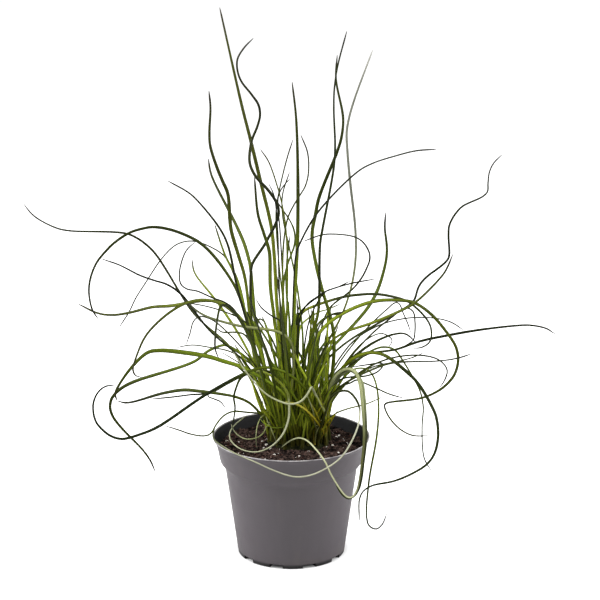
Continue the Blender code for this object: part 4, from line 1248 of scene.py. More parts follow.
@dataclass
class Stems:
    """The stems that the solids hold, each swept again as a smooth round tube.

    From about a third of their length outwards, the stems named as firm are thicker than
    their solids by the share swell, and those named as full by twice that share.
    """

    sweeper: Sweeper
    spacing: float = 0.0018
    sides: int = 8
    buried: float = 0.004
    tip_length: float = 0.007
    tip_girth: float = 0.00020
    least_girth: float = 0.00056
    full: tuple[str, ...] = (
        "stem_centre_left_vertical", "stem_far_right_leaf", "stem_front_horizontal",
        "stem_left_horizontal", "stem_left_inner_reach", "stem_left_inner_tip", "stem_left_low_arch",
        "stem_left_needle", "stem_left_returning", "stem_left_second", "stem_left_tall",
        "stem_left_thick_arch", "stem_right_faint_tall", "stem_right_long_whip", "stem_right_upright",
        "stem_thin_hook",
    )
    firm: tuple[str, ...] = (
        "stem_centre_needle", "stem_centre_short_needle", "stem_curl_companion", "stem_far_left_whip",
        "stem_far_right_zigzag", "stem_front_left_hook", "stem_inner_loop", "stem_left_arc_down",
        "stem_left_big_loop", "stem_left_long_diagonal", "stem_left_thin_drop", "stem_right_mid_arch",
        "stem_right_tall_wave", "stem_right_upper_arch", "stem_tall_left_whip", "stem_top_left_thin",
        "stem_top_right_arc",
    )
    swell: float = 0.33
    swell_from: float = 0.35
    swell_length: float = 0.30
    bend_girth: float = 0.00092
    slim_girth: float = 0.00066
    wobble: float = 0.05
    wobble_scale: float = 90.0
    seed: int = 5
    routes: list[Route] = field(default_factory=list)

    def route(self, node: bpy.types.Object, tone: float, low: Vector, high: Vector) -> Route:
        """Read one solid's centre line, smooth it and lengthen its root downwards.

        Args:
            node: the stem's solid.
            tone: the stem's own lightness, from -1 to 1.
            low: the lowest corner of the crown.
            high: the highest corner of the crown.

        Returns:
            The route from the root to the tip.
        """
        centres, girths = read_rings(node, low, high)
        below = centres[0] - np.array((0.0, 0.0, self.buried))
        centres = np.vstack((below, centres))
        girths = np.concatenate((girths[:1], girths))
        points, places = smooth_line(centres, self.spacing)
        girths = np.interp(places, np.arange(len(girths)), girths)
        return Route(points, girths, tone)

    def taper(self, route: Route, name: str) -> None:
        """Draw a route's last stretch out to a point and make its thickness uneven.

        Args:
            route: the stem's route, which is changed.
            name: the stem's name. The slim stems get thin past their bend. The firm ones
                stay thicker outwards than their solids, and the full ones twice as much.
        """
        reach = route.reach()
        share = reach / reach[-1]
        if name in SLIMMING:
            thin = np.minimum(route.girths, self.slim_girth)
            thick = np.maximum(route.girths, self.bend_girth)
            route.girths = thick + (thin - thick) * np.interp(reach, SLIMMING[name], (0.0, 1.0))
        else:
            times = 2 if name in self.full else int(name in self.firm)
            outer = np.clip((share - self.swell_from) / self.swell_length, 0.0, 1.0)
            route.girths *= 1.0 + times * self.swell * outer
        for index, point in enumerate(route.points):
            route.girths[index] *= 1.0 + self.wobble * noise.noise(Vector(point) * self.wobble_scale)
        body = np.maximum(route.girths, self.least_girth)
        route.girths = draw_out(body, reach, self.tip_length, self.tip_girth)

    def build(self) -> None:
        """Sweep every stem in place of its solid."""
        slots = {row["node"]: row["material_slot"] for row in frame["record"]["subparts"]}
        finishes = {finish.name: finish for finish in (*SKINS.values(), *OWN_FINISHES.values())}
        materials = {name: finish.material() for name, finish in finishes.items()}
        low, high = (Vector(corner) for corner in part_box("crown"))
        tones = np.random.default_rng(self.seed)
        for name in sorted(node for node in frame["nodes"] if node.startswith("stem_")):
            route = self.route(frame["nodes"][name], float(tones.uniform(-1.0, 1.0)), low, high)
            self.taper(route, name)
            self.routes.append(route)
            skin = Skin(slots[name])
            finish = OWN_FINISHES.get(name, SKINS[skin])
            piece = self.sweeper.sweep(f"{name}_skin", [route], self.sides, materials[finish.name])
            hand_over(piece, (name,))


@dataclass(frozen=True)
class Wisp:
    """One fine stem that has no solid of its own: its finish, half-thickness in mm and route."""

    skin: Skin
    girth: float
    route: tuple[Point, ...]


# The fine stems outside the tuft, each from the crown to its tip. A point is across, up and
# depth in millimetres, as for sight_point.
WISPS = (
    Wisp(Skin.DARK, 0.78, (
        (-12, 112, 2), (-22, 140, 6), (-33, 172, 14), (-43, 192, 22), (-50, 197.4, 26),
        (-58.3, 200.5, 30), (-70.2, 205.9, 34), (-78, 207.6, 36), (-82.4, 211.5, 38),
        (-83.2, 218, 40), (-82.3, 225.1, 44), (-78, 236.6, 50), (-71.2, 243.5, 56))),
    Wisp(Skin.DARK, 0.70, (
        (-8, 115, 8), (-14, 145, 12), (-24, 172, 18), (-39, 185, 26), (-45, 188, 30),
        (-58.4, 192.8, 38), (-72.6, 195.9, 46), (-77.8, 195.9, 49))),
    Wisp(Skin.DARK, 0.70, (
        (-2, 120, 4), (-4, 160, 6), (-6, 210, 8), (-8, 250, 10), (-9.6, 273.7, 12),
        (-9, 279, 12), (-6, 285, 13), (-0.7, 291, 15))),
    Wisp(Skin.DARK, 0.70, (
        (-4, 120, -4), (-7, 165, -8), (-9, 215, -14), (-10, 255, -20), (-12.5, 278.6, -25),
        (-16.2, 287.2, -28))),
    Wisp(Skin.DARK, 0.75, (
        (4, 120, -6), (5, 160, -10), (7.3, 186.8, -14), (12.7, 196.2, -18), (19.5, 201.4, -22),
        (25.9, 205.6, -25), (44.1, 211.6, -32), (62.7, 215.2, -38))),
    Wisp(Skin.DARK, 0.93, (
        (-10, 118, -2), (-20, 145, 6), (-29, 163, 14), (-35.5, 172.5, 20), (-42, 174, 24),
        (-52, 174.2, 30), (-57, 178, 33))),
    Wisp(Skin.DARK, 0.93, (
        (3, 124.5, -10), (3.8, 144.3, -14), (4.5, 163.9, -18), (5.3, 183.5, -22), (4.5, 200, -25))),
    Wisp(Skin.DARK, 0.70, (
        (8, 115, 0), (9, 150, -4), (14, 184, -10), (25.4, 205, -18), (35, 209, -24),
        (44, 213.6, -30))),
    Wisp(Skin.DARK, 0.78, (
        (22, 112, -4), (36, 142, -10), (58, 170, -20), (76, 186, -30), (86, 193, -34),
        (91.5, 190, -37), (93, 182, -38), (93, 173.4, -38), (92, 168, -37), (85, 163, -35))),
    Wisp(Skin.DARK, 0.70, (
        (20, 112, 6), (34, 146, 16), (56, 176, 28), (72, 192, 38), (78, 197, 42),
        (81, 196, 44), (84, 189, 46), (88, 179.6, 48), (90, 173.4, 50))),
    Wisp(Skin.DARK, 0.70, (
        (24, 110, 2), (40, 132, 8), (60, 146, 16), (81.5, 151.4, 26), (91, 154, 30),
        (100, 158, 35))),
    Wisp(Skin.DARK, 0.70, (
        (22, 112, 12), (36, 142, 24), (54, 166, 38), (68, 173, 46), (76, 167.9, 50),
        (73, 161.6, 50))),
    Wisp(Skin.DARK, 0.78, (
        (26, 110, -8), (44, 136, -18), (70, 152, -32), (96, 156, -44), (112, 152, -52),
        (117.9, 144.4, -56), (115.8, 135.7, -56), (112.1, 130.1, -55))),
    Wisp(Skin.DARK, 0.78, (
        (24, 106, -10), (30, 122, -16), (37.1, 130.9, -21), (44.6, 134.1, -26),
        (49.9, 136.5, -29), (53.7, 134.9, -31), (64.3, 130.1, -37), (74.3, 125.4, -43),
        (85, 122.2, -49))),
    Wisp(Skin.DARK, 0.78, (
        (25, 108, 0), (31, 126, -2), (37.1, 136.5, -4), (45.4, 138.9, -6), (56.3, 139.6, -8),
        (65.7, 143.2, -9), (69.5, 148.3, -8), (68, 149.8, -5), (56.2, 148.3, 2),
        (46.1, 146.7, 8))),
    Wisp(Skin.DARK, 0.70, (
        (26, 101, 4), (33.4, 109.5, 8), (42.5, 113.5, 12), (56.9, 117.4, 19), (69, 123, 25))),
    Wisp(Skin.DARK, 0.85, (
        (-6, 112, 2), (-8, 130, 4), (-15, 142.5, 4), (-27, 143.5, 0), (-40, 138, -8),
        (-52, 131.5, -14), (-66.3, 125.6, -22), (-75, 125, -28), (-90.3, 123, -34),
        (-106.2, 121.4, -40))),
    Wisp(Skin.DARK, 0.78, (
        (-5, 112, 6), (-8, 130, 8), (-15, 142, 8), (-28, 143, 10), (-42, 137, 14),
        (-56, 128.5, 20), (-63.5, 124, 22), (-58.5, 121.5, 20), (-53.9, 119.5, 20),
        (-49.4, 113.5, 16))),
    Wisp(Skin.DARK, 0.78, (
        (-12, 104, -2), (-22.1, 109.4, -8), (-33.5, 110.9, -16), (-44.9, 111.3, -24),
        (-52.5, 107, -30), (-57.8, 99.9, -34), (-60.3, 95.1, -36), (-63.1, 92.7, -37),
        (-67.9, 91.9, -39), (-77, 93.5, -42), (-86.9, 97.1, -45), (-95.9, 99.9, -48))),
    Wisp(Skin.DARK, 0.70, (
        (-12, 112, 4), (-24, 142, 10), (-44, 158, 20), (-62.5, 162.4, 30), (-74.5, 164, 36),
        (-86.6, 162, 42))),
    Wisp(Skin.DARK, 0.70, (
        (-12, 112, -8), (-26, 146, -18), (-46, 172, -30), (-60, 184, -38), (-69.8, 185.8, -43),
        (-73.5, 181.9, -45), (-75.9, 173.4, -46), (-79, 164.4, -47))),
    Wisp(Skin.DARK, 0.62, (
        (-8, 110, 10), (-20, 134, 20), (-39.2, 149.9, 32), (-52.7, 158.5, 42))),
)

# The stems that are seen crossing low in the tuft, laid out in the same way.
TUFT_STROKES = (
    Wisp(Skin.DARK, 1.00, (
        (-15.5, 111, 6), (-17.5, 122, 4), (-22.5, 131.5, 2), (-30, 138.8, 0), (-36, 143, -2),
        (-43, 149, -4))),
    Wisp(Skin.GREEN, 1.38, (
        (-12, 106, 4), (-13, 114, 4), (-15.9, 123.8, 5), (-17.6, 136.4, 6), (-19.7, 145.9, 8),
        (-22.6, 158.5, 10), (-26.3, 169.4, 12), (-30, 181.9, 14))),
    Wisp(Skin.GREEN, 1.25, (
        (-6.1, 104, 10), (-7.6, 120.6, 12), (-9.1, 132.4, 14), (-10.6, 144.3, 16),
        (-13.6, 158.5, 18), (-15.8, 167.8, 20), (-18.8, 178.8, 22), (-21.8, 186.6, 24))),
    Wisp(Skin.DARK, 0.94, (
        (-5.3, 106, 14), (-6.1, 124.5, 18), (-6.8, 140.3, 22), (-10.6, 158.5, 26),
        (-15.8, 171, 30), (-21.8, 178.8, 33), (-26.3, 185.8, 36), (-30.7, 192, 38))),
    Wisp(Skin.DARK, 0.81, (
        (-0.8, 110, -10), (-0.8, 132.4, -14), (-2.3, 152.2, -18), (-5.3, 169.4, -22),
        (-8.3, 182.7, -26), (-14.3, 186.6, -30), (-19.5, 190.5, -33), (-23.2, 194.3, -36),
        (-26.2, 199.7, -38))),
    Wisp(Skin.GREEN, 1.25, (
        (-0.8, 104, 2), (-3.8, 116.6, 4), (-2.3, 132.4, 5), (3.8, 144.3, 6),
        (9.1, 154.5, 7), (12.8, 163.9, 8), (15.8, 174.1, 9), (18, 183.5, 10))),
    Wisp(Skin.GREEN, 1.19, (
        (25.9, 102, -14), (25.3, 109.8, -17), (23.1, 116.1, -19), (19.7, 122.3, -21),
        (14.9, 130.9, -24), (11.4, 138, -26), (7.6, 145.1, -28), (4.5, 152.2, -30),
        (2.3, 160, -32))),
    Wisp(Skin.GREEN, 1.12, (
        (14, 103, -14), (8, 114, -18), (2, 124, -21), (-4, 134, -24), (-10, 144, -26),
        (-17, 154, -28))),
    Wisp(Skin.OLIVE, 1.12, (
        (20, 104, 0), (17, 118, 2), (12, 132, 4), (6, 146, 6), (-2, 158, 8), (-10, 168, 10))),
    Wisp(Skin.GREEN, 1.25, (
        (6, 104, 8), (9, 118, 12), (14, 132, 16), (20, 145, 20), (25, 158, 24), (28, 172, 28))),
    Wisp(Skin.OLIVE, 1.19, (
        (-6, 103, 14), (0, 118, 18), (7, 133, 22), (15, 148, 26), (22, 161, 30), (30, 172, 34))),
    Wisp(Skin.GREEN, 1.19, (
        (26, 106, 6), (27, 118, 9), (30, 130, 12), (36, 141, 16), (43, 149, 20))),
    Wisp(Skin.GREEN, 1.05, (
        (-9, 97, -12), (-12, 104, -14), (-16, 111, -15), (-20, 118.5, -16))),
    Wisp(Skin.GREEN, 1.15, (
        (-10, 97, -12), (-11.5, 105, -14), (-13.5, 114, -15), (-16, 123, -16), (-20, 133, -17))),
    Wisp(Skin.OLIVE, 1.10, (
        (-8, 97, -13), (-9, 106, -15), (-10.5, 116, -17), (-12, 128, -18))),
    Wisp(Skin.GREEN, 1.10, (
        (-7, 97, -13), (-6.5, 106, -15), (-7, 116, -17), (-9, 127, -18))),
    Wisp(Skin.GREEN, 0.95, (
        (-12, 97, -11), (-15, 103, -12), (-19, 109, -13), (-23, 113.5, -13))),
    Wisp(Skin.OLIVE, 1.00, (
        (-6, 97, -13), (-4.5, 104, -15), (-4, 113, -17), (-5, 122, -18))),
    Wisp(Skin.GREEN, 0.75, (
        (-4, 104, -14), (-5.3, 99.9, -17), (-9.9, 98.3, -19), (-13.5, 98.5, -19),
        (-16.5, 99.6, -18), (-19.6, 101.5, -16), (-22.1, 103.7, -14), (-24, 107, -11))),
    Wisp(Skin.GREEN, 1.10, (
        (16, 100, -10), (18, 110, -13), (21, 120, -15), (25, 130, -17), (30, 138, -19))),
    Wisp(Skin.GREEN, 1.15, (
        (20, 100, -10), (22, 109, -12), (25, 118, -14), (29, 127, -16), (34, 134.5, -18))),
    Wisp(Skin.GREEN, 1.10, (
        (23, 100, -9), (25, 108, -11), (28, 116, -12), (32, 124, -13), (37, 130, -14))),
    Wisp(Skin.GREEN, 1.05, (
        (12, 102, -10), (13, 112, -12), (15, 122, -14), (18, 132, -15), (22, 142, -16),
        (27, 151, -17))),
    Wisp(Skin.DARK, 1.06, (
        (28.4, 108, -2), (28.9, 117, -3), (30.3, 126.9, -5), (34.8, 135.6, -8), (41.6, 145.1, -12),
        (50, 152, -16))),
    Wisp(Skin.DARK, 0.95, (
        (4, 104, 16), (3, 130, 19), (3, 160, 20), (4, 178, 19), (5, 186, 18),
        (9.7, 192.8, 17), (15.3, 197.9, 16), (19.3, 200.7, 15), (24.7, 204.3, 14))),
    Wisp(Skin.OLIVE, 1.05, (
        (8, 104, -6), (9, 125, -8), (10, 145, -10), (12.8, 163.9, -12), (17.3, 174.1, -14),
        (21.4, 181.9, -16), (28.2, 186.6, -18), (33.7, 188.9, -20), (39, 189.7, -22))),
    Wisp(Skin.DARK, 1.00, (
        (14, 104, -8), (15, 125, -10), (18.1, 144.4, -12), (22.6, 156.1, -13), (28.3, 167.1, -14))),
)

# The stem that hangs down at the right side of the thick one and shows below its bend.
DROOP_STROKES = (
    Wisp(Skin.OLIVE, 1.25, (
        (26, 104, -4), (28.6, 118, -8), (31.5, 131, -14), (37.4, 140, -21), (46, 143.5, -29),
        (53.2, 135.6, -36), (55.4, 123.5, -40), (56.4, 109.9, -44), (57.0, 96.3, -46),
        (56.8, 84.6, -49), (55.3, 70.8, -52), (53.8, 57, -56), (51.6, 48.4, -59),
        (48.2, 43.2, -61), (44.4, 41.4, -63), (40.6, 43.2, -65), (37.2, 47.6, -67), (34.0, 53.2, -69))),
)

# The thin cream stems: three of them curl over the soil at the left, two rise in the tuft.
CREAM_STROKES = (
    Wisp(Skin.PALE, 0.55, (
        (-17, 112, -4), (-21, 108.5, -8), (-24.2, 104.5, -10), (-26.2, 98, -11),
        (-26.8, 92, -11), (-26.7, 86, -10), (-26.2, 82, -9))),
    Wisp(Skin.PALE, 0.58, (
        (-16, 103, -10), (-19, 98.5, -14), (-21.5, 94, -16), (-25.5, 90.8, -17), (-32, 89.2, -16),
        (-37.2, 90.3, -14), (-41.8, 93.7, -11), (-44.5, 97.5, -8), (-45.5, 101, -4))),
    Wisp(Skin.PALE, 0.45, (
        (-19, 108, -6), (-17.6, 102.6, -9), (-16, 99.6, -11), (-14.5, 95.5, -12),
        (-13, 91.5, -12), (-12, 88, -11))),
    Wisp(Skin.PALE, 0.50, (
        (18, 103, -20), (17, 110, -23), (15.6, 115, -24), (13.4, 121, -25), (11, 127, -25))),
    Wisp(Skin.PALE, 0.52, (
        (25.6, 109, -20), (22.8, 115.8, -24), (20.2, 122, -27), (17.8, 127.6, -30),
        (15.9, 131.6, -32))),
)

# The dry brownish stems at the right of the tuft's foot.
DRY_STROKES = (
    Wisp(Skin.OLIVE, 1.06, (
        (24.4, 94, -10), (22.6, 98.5, -13), (18.9, 104.2, -16), (14.5, 109.4, -19),
        (9.9, 113.7, -21), (4.6, 117, -22), (-1.5, 118.8, -22), (-7.6, 118.6, -21))),
    Wisp(Skin.OLIVE, 1.00, (
        (24.6, 96.5, -11), (23.0, 101.5, -13), (21, 105.4, -15), (18.3, 111.8, -18),
        (14.4, 119, -21))),
    Wisp(Skin.OLIVE, 0.94, (
        (27, 97, -8), (29, 101.5, -9), (31.7, 106.3, -10), (33.5, 109.5, -11))),
    Wisp(Skin.OLIVE, 1.12, (
        (26, 96, -10), (25.6, 104, -12), (24.4, 112, -14), (22.4, 121, -17), (21, 130, -20))),
    Wisp(Skin.OLIVE, 1.06, (
        (27, 96, -6), (27.6, 104, -7), (27.4, 113, -8), (28.4, 122, -9), (30, 131, -11))),
    Wisp(Skin.OLIVE, 1.00, (
        (20, 95, -12), (18, 101, -14), (15.4, 107, -16), (12, 113, -18), (8.4, 120, -20))),
    Wisp(Skin.OLIVE, 0.88, (
        (23, 95, -12), (25, 100, -13), (28.4, 104.6, -13), (32.4, 107.6, -12), (35, 112, -11))),
    Wisp(Skin.OLIVE, 1.00, (
        (17, 94, -12), (17.6, 101, -14), (19.4, 108, -15), (22.2, 114.4, -16), (25.4, 119, -17))),
)


@dataclass(frozen=True)
class Filler:
    """The short upright stems that fill the tuft: where they stand, lean, curl and end.

    A drift is the middle and the spread of the lean to the right. The stems that reach the
    band height cross it in the bands, so that gaps stay open between them.
    """

    clump: Clump
    count: int = 104
    pattern_turn: float = 2.1
    buried: float = 0.003
    shortest: float = 0.024
    longest: float = 0.110
    shortness: float = 1.6
    drift_border: float = 0.4
    left_drift: tuple[float, float] = (-0.09, 0.16)
    right_drift: tuple[float, float] = (-0.02, 0.18)
    band_height: float = 0.165
    bands: tuple[tuple[float, float], ...] = (
        (-0.030, -0.018), (-0.012, 0.003), (0.014, 0.020), (0.026, 0.031),
    )
    left_edge: float = 1.0
    left_spread: float = 0.40
    left_spread_from: float = 0.024
    right_edge: float = 0.94
    right_spread: float = 0.20
    right_spread_from: float = 0.035
    backward_range: tuple[float, float] = (0.05, 0.30)
    backward_stray: float = 0.12
    curl: float = 0.0016
    curl_range: tuple[float, float] = (0.2, 1.0)
    turns_range: tuple[float, float] = (0.8, 1.8)
    girth_range: tuple[float, float] = (0.0008, 0.0013)
    straightness: float = 0.6
    steps: int = 7

    def drift(self, root: np.ndarray, draw: np.random.Generator) -> float:
        """Draw how far sideways a stem leans for each metre that it rises.

        Args:
            root: where it stands.
            draw: where the random numbers come from.

        Returns:
            The lean to the right.
        """
        border = self.clump.centre[0] + self.drift_border * self.clump.half_width
        return float(draw.normal(*(self.left_drift if root[0] < border else self.right_drift)))

    def end_limits(self, rise: float) -> tuple[float, float]:
        """Find how far left and right a stem may end.

        Args:
            rise: the height of its end over the crown.

        Returns:
            The limits at the left and at the right.
        """
        middle, half = self.clump.centre[0], self.clump.half_width
        left_room = self.left_spread * max(0.0, rise - self.left_spread_from)
        right_room = self.right_spread * max(0.0, rise - self.right_spread_from)
        return middle - self.left_edge * half - left_room, middle + self.right_edge * half + right_room

    def end(self, root: np.ndarray, length: float, draw: np.random.Generator) -> float:
        """Draw where across the view a stem ends.

        Args:
            root: where it stands.
            length: how far it rises.
            draw: where the random numbers come from.

        Returns:
            The end's place across.
        """
        end = root[0] + self.drift(root, draw) * length
        if root[2] + length > self.band_height:
            band = min(self.bands, key=lambda band: abs(sum(band) / 2 - end))
            at_band = float(draw.uniform(*band))
            end = root[0] + (at_band - root[0]) * length / (self.band_height - root[2])
        left, right = self.end_limits(length)
        return min(max(end, left), right)

    def line(self, number: int, draw: np.random.Generator) -> list[np.ndarray]:
        """Draw the points that one stem passes through.

        Args:
            number: which of the stems it is.
            draw: where the random numbers come from.

        Returns:
            The points, from under the root to the tip.
        """
        clump = self.clump
        root = clump.spot(number, self.count, self.pattern_turn)
        length = self.shortest + (self.longest - self.shortest) * float(draw.uniform()) ** self.shortness
        across = self.end(root, length, draw) - root[0]
        behind = (root[1] - clump.centre[1]) / clump.half_depth
        backward = behind * float(draw.uniform(*self.backward_range))
        backward += self.backward_stray * float(draw.normal())
        twist = float(draw.uniform(0.0, 2 * math.pi))
        curl = self.curl * float(draw.uniform(*self.curl_range))
        turns = float(draw.uniform(*self.turns_range))
        line = [root - np.array((0.0, 0.0, self.buried)), root]
        for step in range(1, self.steps + 1):
            share = step / self.steps
            angle = twist + turns * 2 * math.pi * share
            sway = curl * share
            eased = share * (self.straightness + (1.0 - self.straightness) * share)
            line.append(np.array((
                root[0] + across * eased + sway * math.cos(angle),
                root[1] + backward * length * eased + sway * math.sin(angle),
                root[2] + length * share,
            )))
        return line


@dataclass
class FineStems:
    """The stems past the solids: listed wisps and strokes, and short ones that fill the tuft.

    A listed stem starts at the nearest of its group of places on the crown, and its
    first points are set back by shares of how far the crown stands behind the pot's axis.
    """

    sweeper: Sweeper
    filler: Filler
    spacing: float = 0.0022
    sides: int = 7
    thinning: float = 0.3
    thinning_bias: float = 1.8
    tip_girth: float = 0.00020
    tip_length: float = 0.008
    root_places: int = 72
    root_groups: int = 3
    root_turn: float = 0.6
    lead: Point = (0.2, 0.2, 0.4)
    set_back: tuple[float, ...] = (1.0, 0.8, 0.5, 0.25)
    cream_spread: float = 0.3
    seed: int = 11
    routes: list[Route] = field(default_factory=list)

    def finish_route(self, line: list[np.ndarray], girth: float, tone: float) -> Route:
        """Lay a smooth tapering route through a few points.

        Args:
            line: the points from the root to the tip.
            girth: half-thickness at the root.
            tone: the stem's own lightness.

        Returns:
            The route.
        """
        points, _ = smooth_line(np.array(line), self.spacing)
        route = Route(points, np.zeros(len(points)), tone)
        reach = route.reach()
        body = girth * (1.0 - self.thinning * (reach / reach[-1]) ** self.thinning_bias)
        route.girths = draw_out(body, reach, self.tip_length, self.tip_girth)
        return route

    def wisp_route(self, wisp: Wisp, number: int, tone: float) -> Route:
        """Lay the route of a listed stem, its low part set back with the crown.

        Args:
            wisp: the stem.
            number: its number, which says what group of places it may start from.
            tone: its own lightness.

        Returns:
            The route.
        """
        clump = self.filler.clump
        places = []
        for index, (across, up, depth) in enumerate(wisp.route):
            share = self.set_back[index] if index < len(self.set_back) else 0.0
            places.append(sight_point(across, up, depth + share * clump.centre[1] / MM))
        group = range(number % self.root_groups, self.root_places, self.root_groups)
        free = [clump.spot(index, self.root_places, self.root_turn) for index in group]
        root = min(free, key=lambda spot: float(np.sum((spot[:2] - places[0][:2]) ** 2)))
        lead = root + (places[0] - root) * np.array(self.lead)
        return self.finish_route([root, lead] + places, wisp.girth * MM, tone)

    def wisp_routes(self, wisps: tuple[Wisp, ...], spread: float, draw: np.random.Generator) -> list[Route]:
        """Lay the routes of some listed stems.

        Args:
            wisps: the stems.
            spread: how much lighter or darker each may be drawn. With 0 nothing is drawn.
            draw: where the random numbers come from.

        Returns:
            The routes.
        """
        return [
            self.wisp_route(wisp, number, float(draw.uniform(-spread, spread)) if spread else 0.0)
            for number, wisp in enumerate(wisps)
        ]

    def filler_route(self, number: int, draw: np.random.Generator) -> Route:
        """Lay the route of one short upright stem of the tuft.

        Args:
            number: which of the stems it is.
            draw: where the random numbers come from.

        Returns:
            The route.
        """
        line = self.filler.line(number, draw)
        girth = float(draw.uniform(*self.filler.girth_range))
        return self.finish_route(line, girth, float(draw.uniform(-1.0, 1.0)))

    def sweep(self, name: str, routes: list[Route], finish: StemFinish, slot: str) -> None:
        """Sweep some stems as one piece.

        Args:
            name: the piece's name.
            routes: the stems' routes.
            finish: their finish.
            slot: the material slot meant for the piece; it is not used.
        """
        hand_over(self.sweeper.sweep(name, routes, self.sides, finish.material()))

    def sweep_by_skin(self, label: str, wisps: tuple[Wisp, ...], draw: np.random.Generator) -> None:
        """Sweep listed stems, one piece for each finish.

        Args:
            label: how the pieces' names start.
            wisps: the stems.
            draw: where the random numbers come from.
        """
        by_skin: dict[Skin, list[Route]] = {}
        for wisp, route in zip(wisps, self.wisp_routes(wisps, 1.0, draw)):
            by_skin.setdefault(wisp.skin, []).append(route)
        for skin, routes in by_skin.items():
            self.sweep(f"{label}_{skin.name.lower()}", routes, SKINS[skin], skin.value)

    def build(self) -> None:
        """Sweep the wisps, the strokes and the filling stems."""
        draw = np.random.default_rng(self.seed)
        self.sweep_by_skin("fine_wisps", WISPS, draw)
        self.sweep_by_skin("tuft_strokes", TUFT_STROKES, draw)
        dry = self.wisp_routes(DRY_STROKES, 1.0, draw)
        self.sweep("dry_stems", dry, DRY_FINISH, "crown_sheath")
        side = self.wisp_routes(DROOP_STROKES, 0.0, draw)
        self.sweep("droop_side", side, DROOP_SIDE_FINISH, "stem_olive")
        cream = self.wisp_routes(CREAM_STROKES, self.cream_spread, draw)
        self.sweep("cream_stems", cream, CREAM_FINISH, "stem_pale")
        self.routes = [self.filler_route(number, draw) for number in range(self.filler.count)]
        self.sweep("tuft_stems_green", self.routes[::2], SKINS[Skin.GREEN], "stem_green")
        self.sweep("tuft_stems_olive", self.routes[1::2], SKINS[Skin.OLIVE], "stem_olive")


@dataclass
class Sheaths:
    """Papery sleeves around the foot of each stem."""

    sweeper: Sweeper
    shortest: float = 0.005
    longest: float = 0.022
    flare: float = 0.28
    play: float = 0.00035
    fewest_points: int = 5
    sides: int = 9
    seed: int = 3

    def sleeve(self, stem: Route, draw: np.random.Generator) -> Route:
        """Lay the sleeve around one stem's foot, wider the nearer it is to the root.

        Args:
            stem: the stem that it wraps.
            draw: where the random numbers come from.

        Returns:
            The sleeve's route.
        """
        length = float(draw.uniform(self.shortest, self.longest))
        count = max(self.fewest_points, int(np.searchsorted(stem.reach(), length)))
        left = 1.0 - np.linspace(0.0, 1.0, count)
        girths = stem.girths[:count] * (1.0 + self.flare * left) + self.play * left ** 0.5
        return Route(stem.points[:count].copy(), girths, float(draw.uniform(-1.0, 1.0)))

    def build(self, stems: list[Route]) -> None:
        """Wrap the feet of some stems.

        Args:
            stems: the stems' routes.
        """
        draw = np.random.default_rng(self.seed)
        sleeves = [self.sleeve(stem, draw) for stem in stems]
        piece = self.sweeper.sweep("crown_sheaths", sleeves, self.sides, SHEATH_FINISH.material())
        hand_over(piece)


def disc_faces(rings: int, segments: int) -> list[tuple[int, ...]]:
    """List the faces of a closed disc made of rings around one middle point.

    Args:
        rings: the number of rings. One more ring follows them as the bottom's edge.
        segments: the number of points on each ring.

    Returns:
        The faces, as tuples of vertex numbers.
    """
    faces = [(0, 1 + step, 1 + (step + 1) % segments) for step in range(segments)]
    for ring in range(rings):
        inner = 1 + ring * segments
        outer = inner + segments
        for step in range(segments):
            after = (step + 1) % segments
            faces.append((inner + step, outer + step, outer + after, inner + after))
    bottom = 1 + rings * segments
    faces.append(tuple(bottom + step for step in range(segments)))
    return faces


def turned_mesh(profile: list[tuple[float, float]], segments: int) -> tuple[list, list]:
    """Turn a closed outline about Z.

    Args:
        profile: radius and height pairs; a radius of 0 is a pole.
        segments: the number of steps around.

    Returns:
        The vertices and the faces.
    """
    vertices = []
    rows = []
    for radius, height in profile:
        if radius == 0:
            rows.append([len(vertices)] * segments)
            vertices.append((0.0, 0.0, height))
            continue
        rows.append(list(range(len(vertices), len(vertices) + segments)))
        for step in range(segments):
            angle = 2 * math.pi * step / segments
            vertices.append((radius * math.cos(angle), radius * math.sin(angle), height))
    faces = []
    for low, high in zip(rows, rows[1:]):
        for step in range(segments):
            after = (step + 1) % segments
            corners = []
            for index in (low[step], low[after], high[after], high[step]):
                if index not in corners:
                    corners.append(index)
            faces.append(corners)
    return vertices, faces


# How much of a side the rounding of one of its corners takes at most.
MOST_ROUNDING = 0.45


def rounded(profile: list[tuple[float, float, float]], steps: int) -> list[tuple[float, float]]:
    """Round the corners of a profile.

    Args:
        profile: radius, height and the corner's own rounding, from first to last.
        steps: points on each rounded corner.

    Returns:
        Radius and height pairs.
    """
    points = []
    for index, (radius, height, turn) in enumerate(profile):
        here = np.array((radius, height))
        if turn == 0.0 or index in (0, len(profile) - 1):
            points.append((float(radius), float(height)))
            continue
        before = np.array(profile[index - 1][:2]) - here
        after = np.array(profile[index + 1][:2]) - here
        sides = float(np.linalg.norm(before)), float(np.linalg.norm(after))
        reach = min(turn, MOST_ROUNDING * sides[0], MOST_ROUNDING * sides[1])
        first = here + before / sides[0] * reach
        last = here + after / sides[1] * reach
        for step in range(steps + 1):
            share = step / steps
            point = (1 - share) ** 2 * first + 2 * share * (1 - share) * here + share ** 2 * last
            points.append((float(point[0]), float(point[1])))
    return points


# The faces of a block, whose corners are numbered inner before outer, low before high.
BLOCK_FACES = ((0, 1, 3, 2), (4, 6, 7, 5), (0, 4, 5, 1), (2, 3, 7, 6), (0, 2, 6, 4), (1, 5, 7, 3))


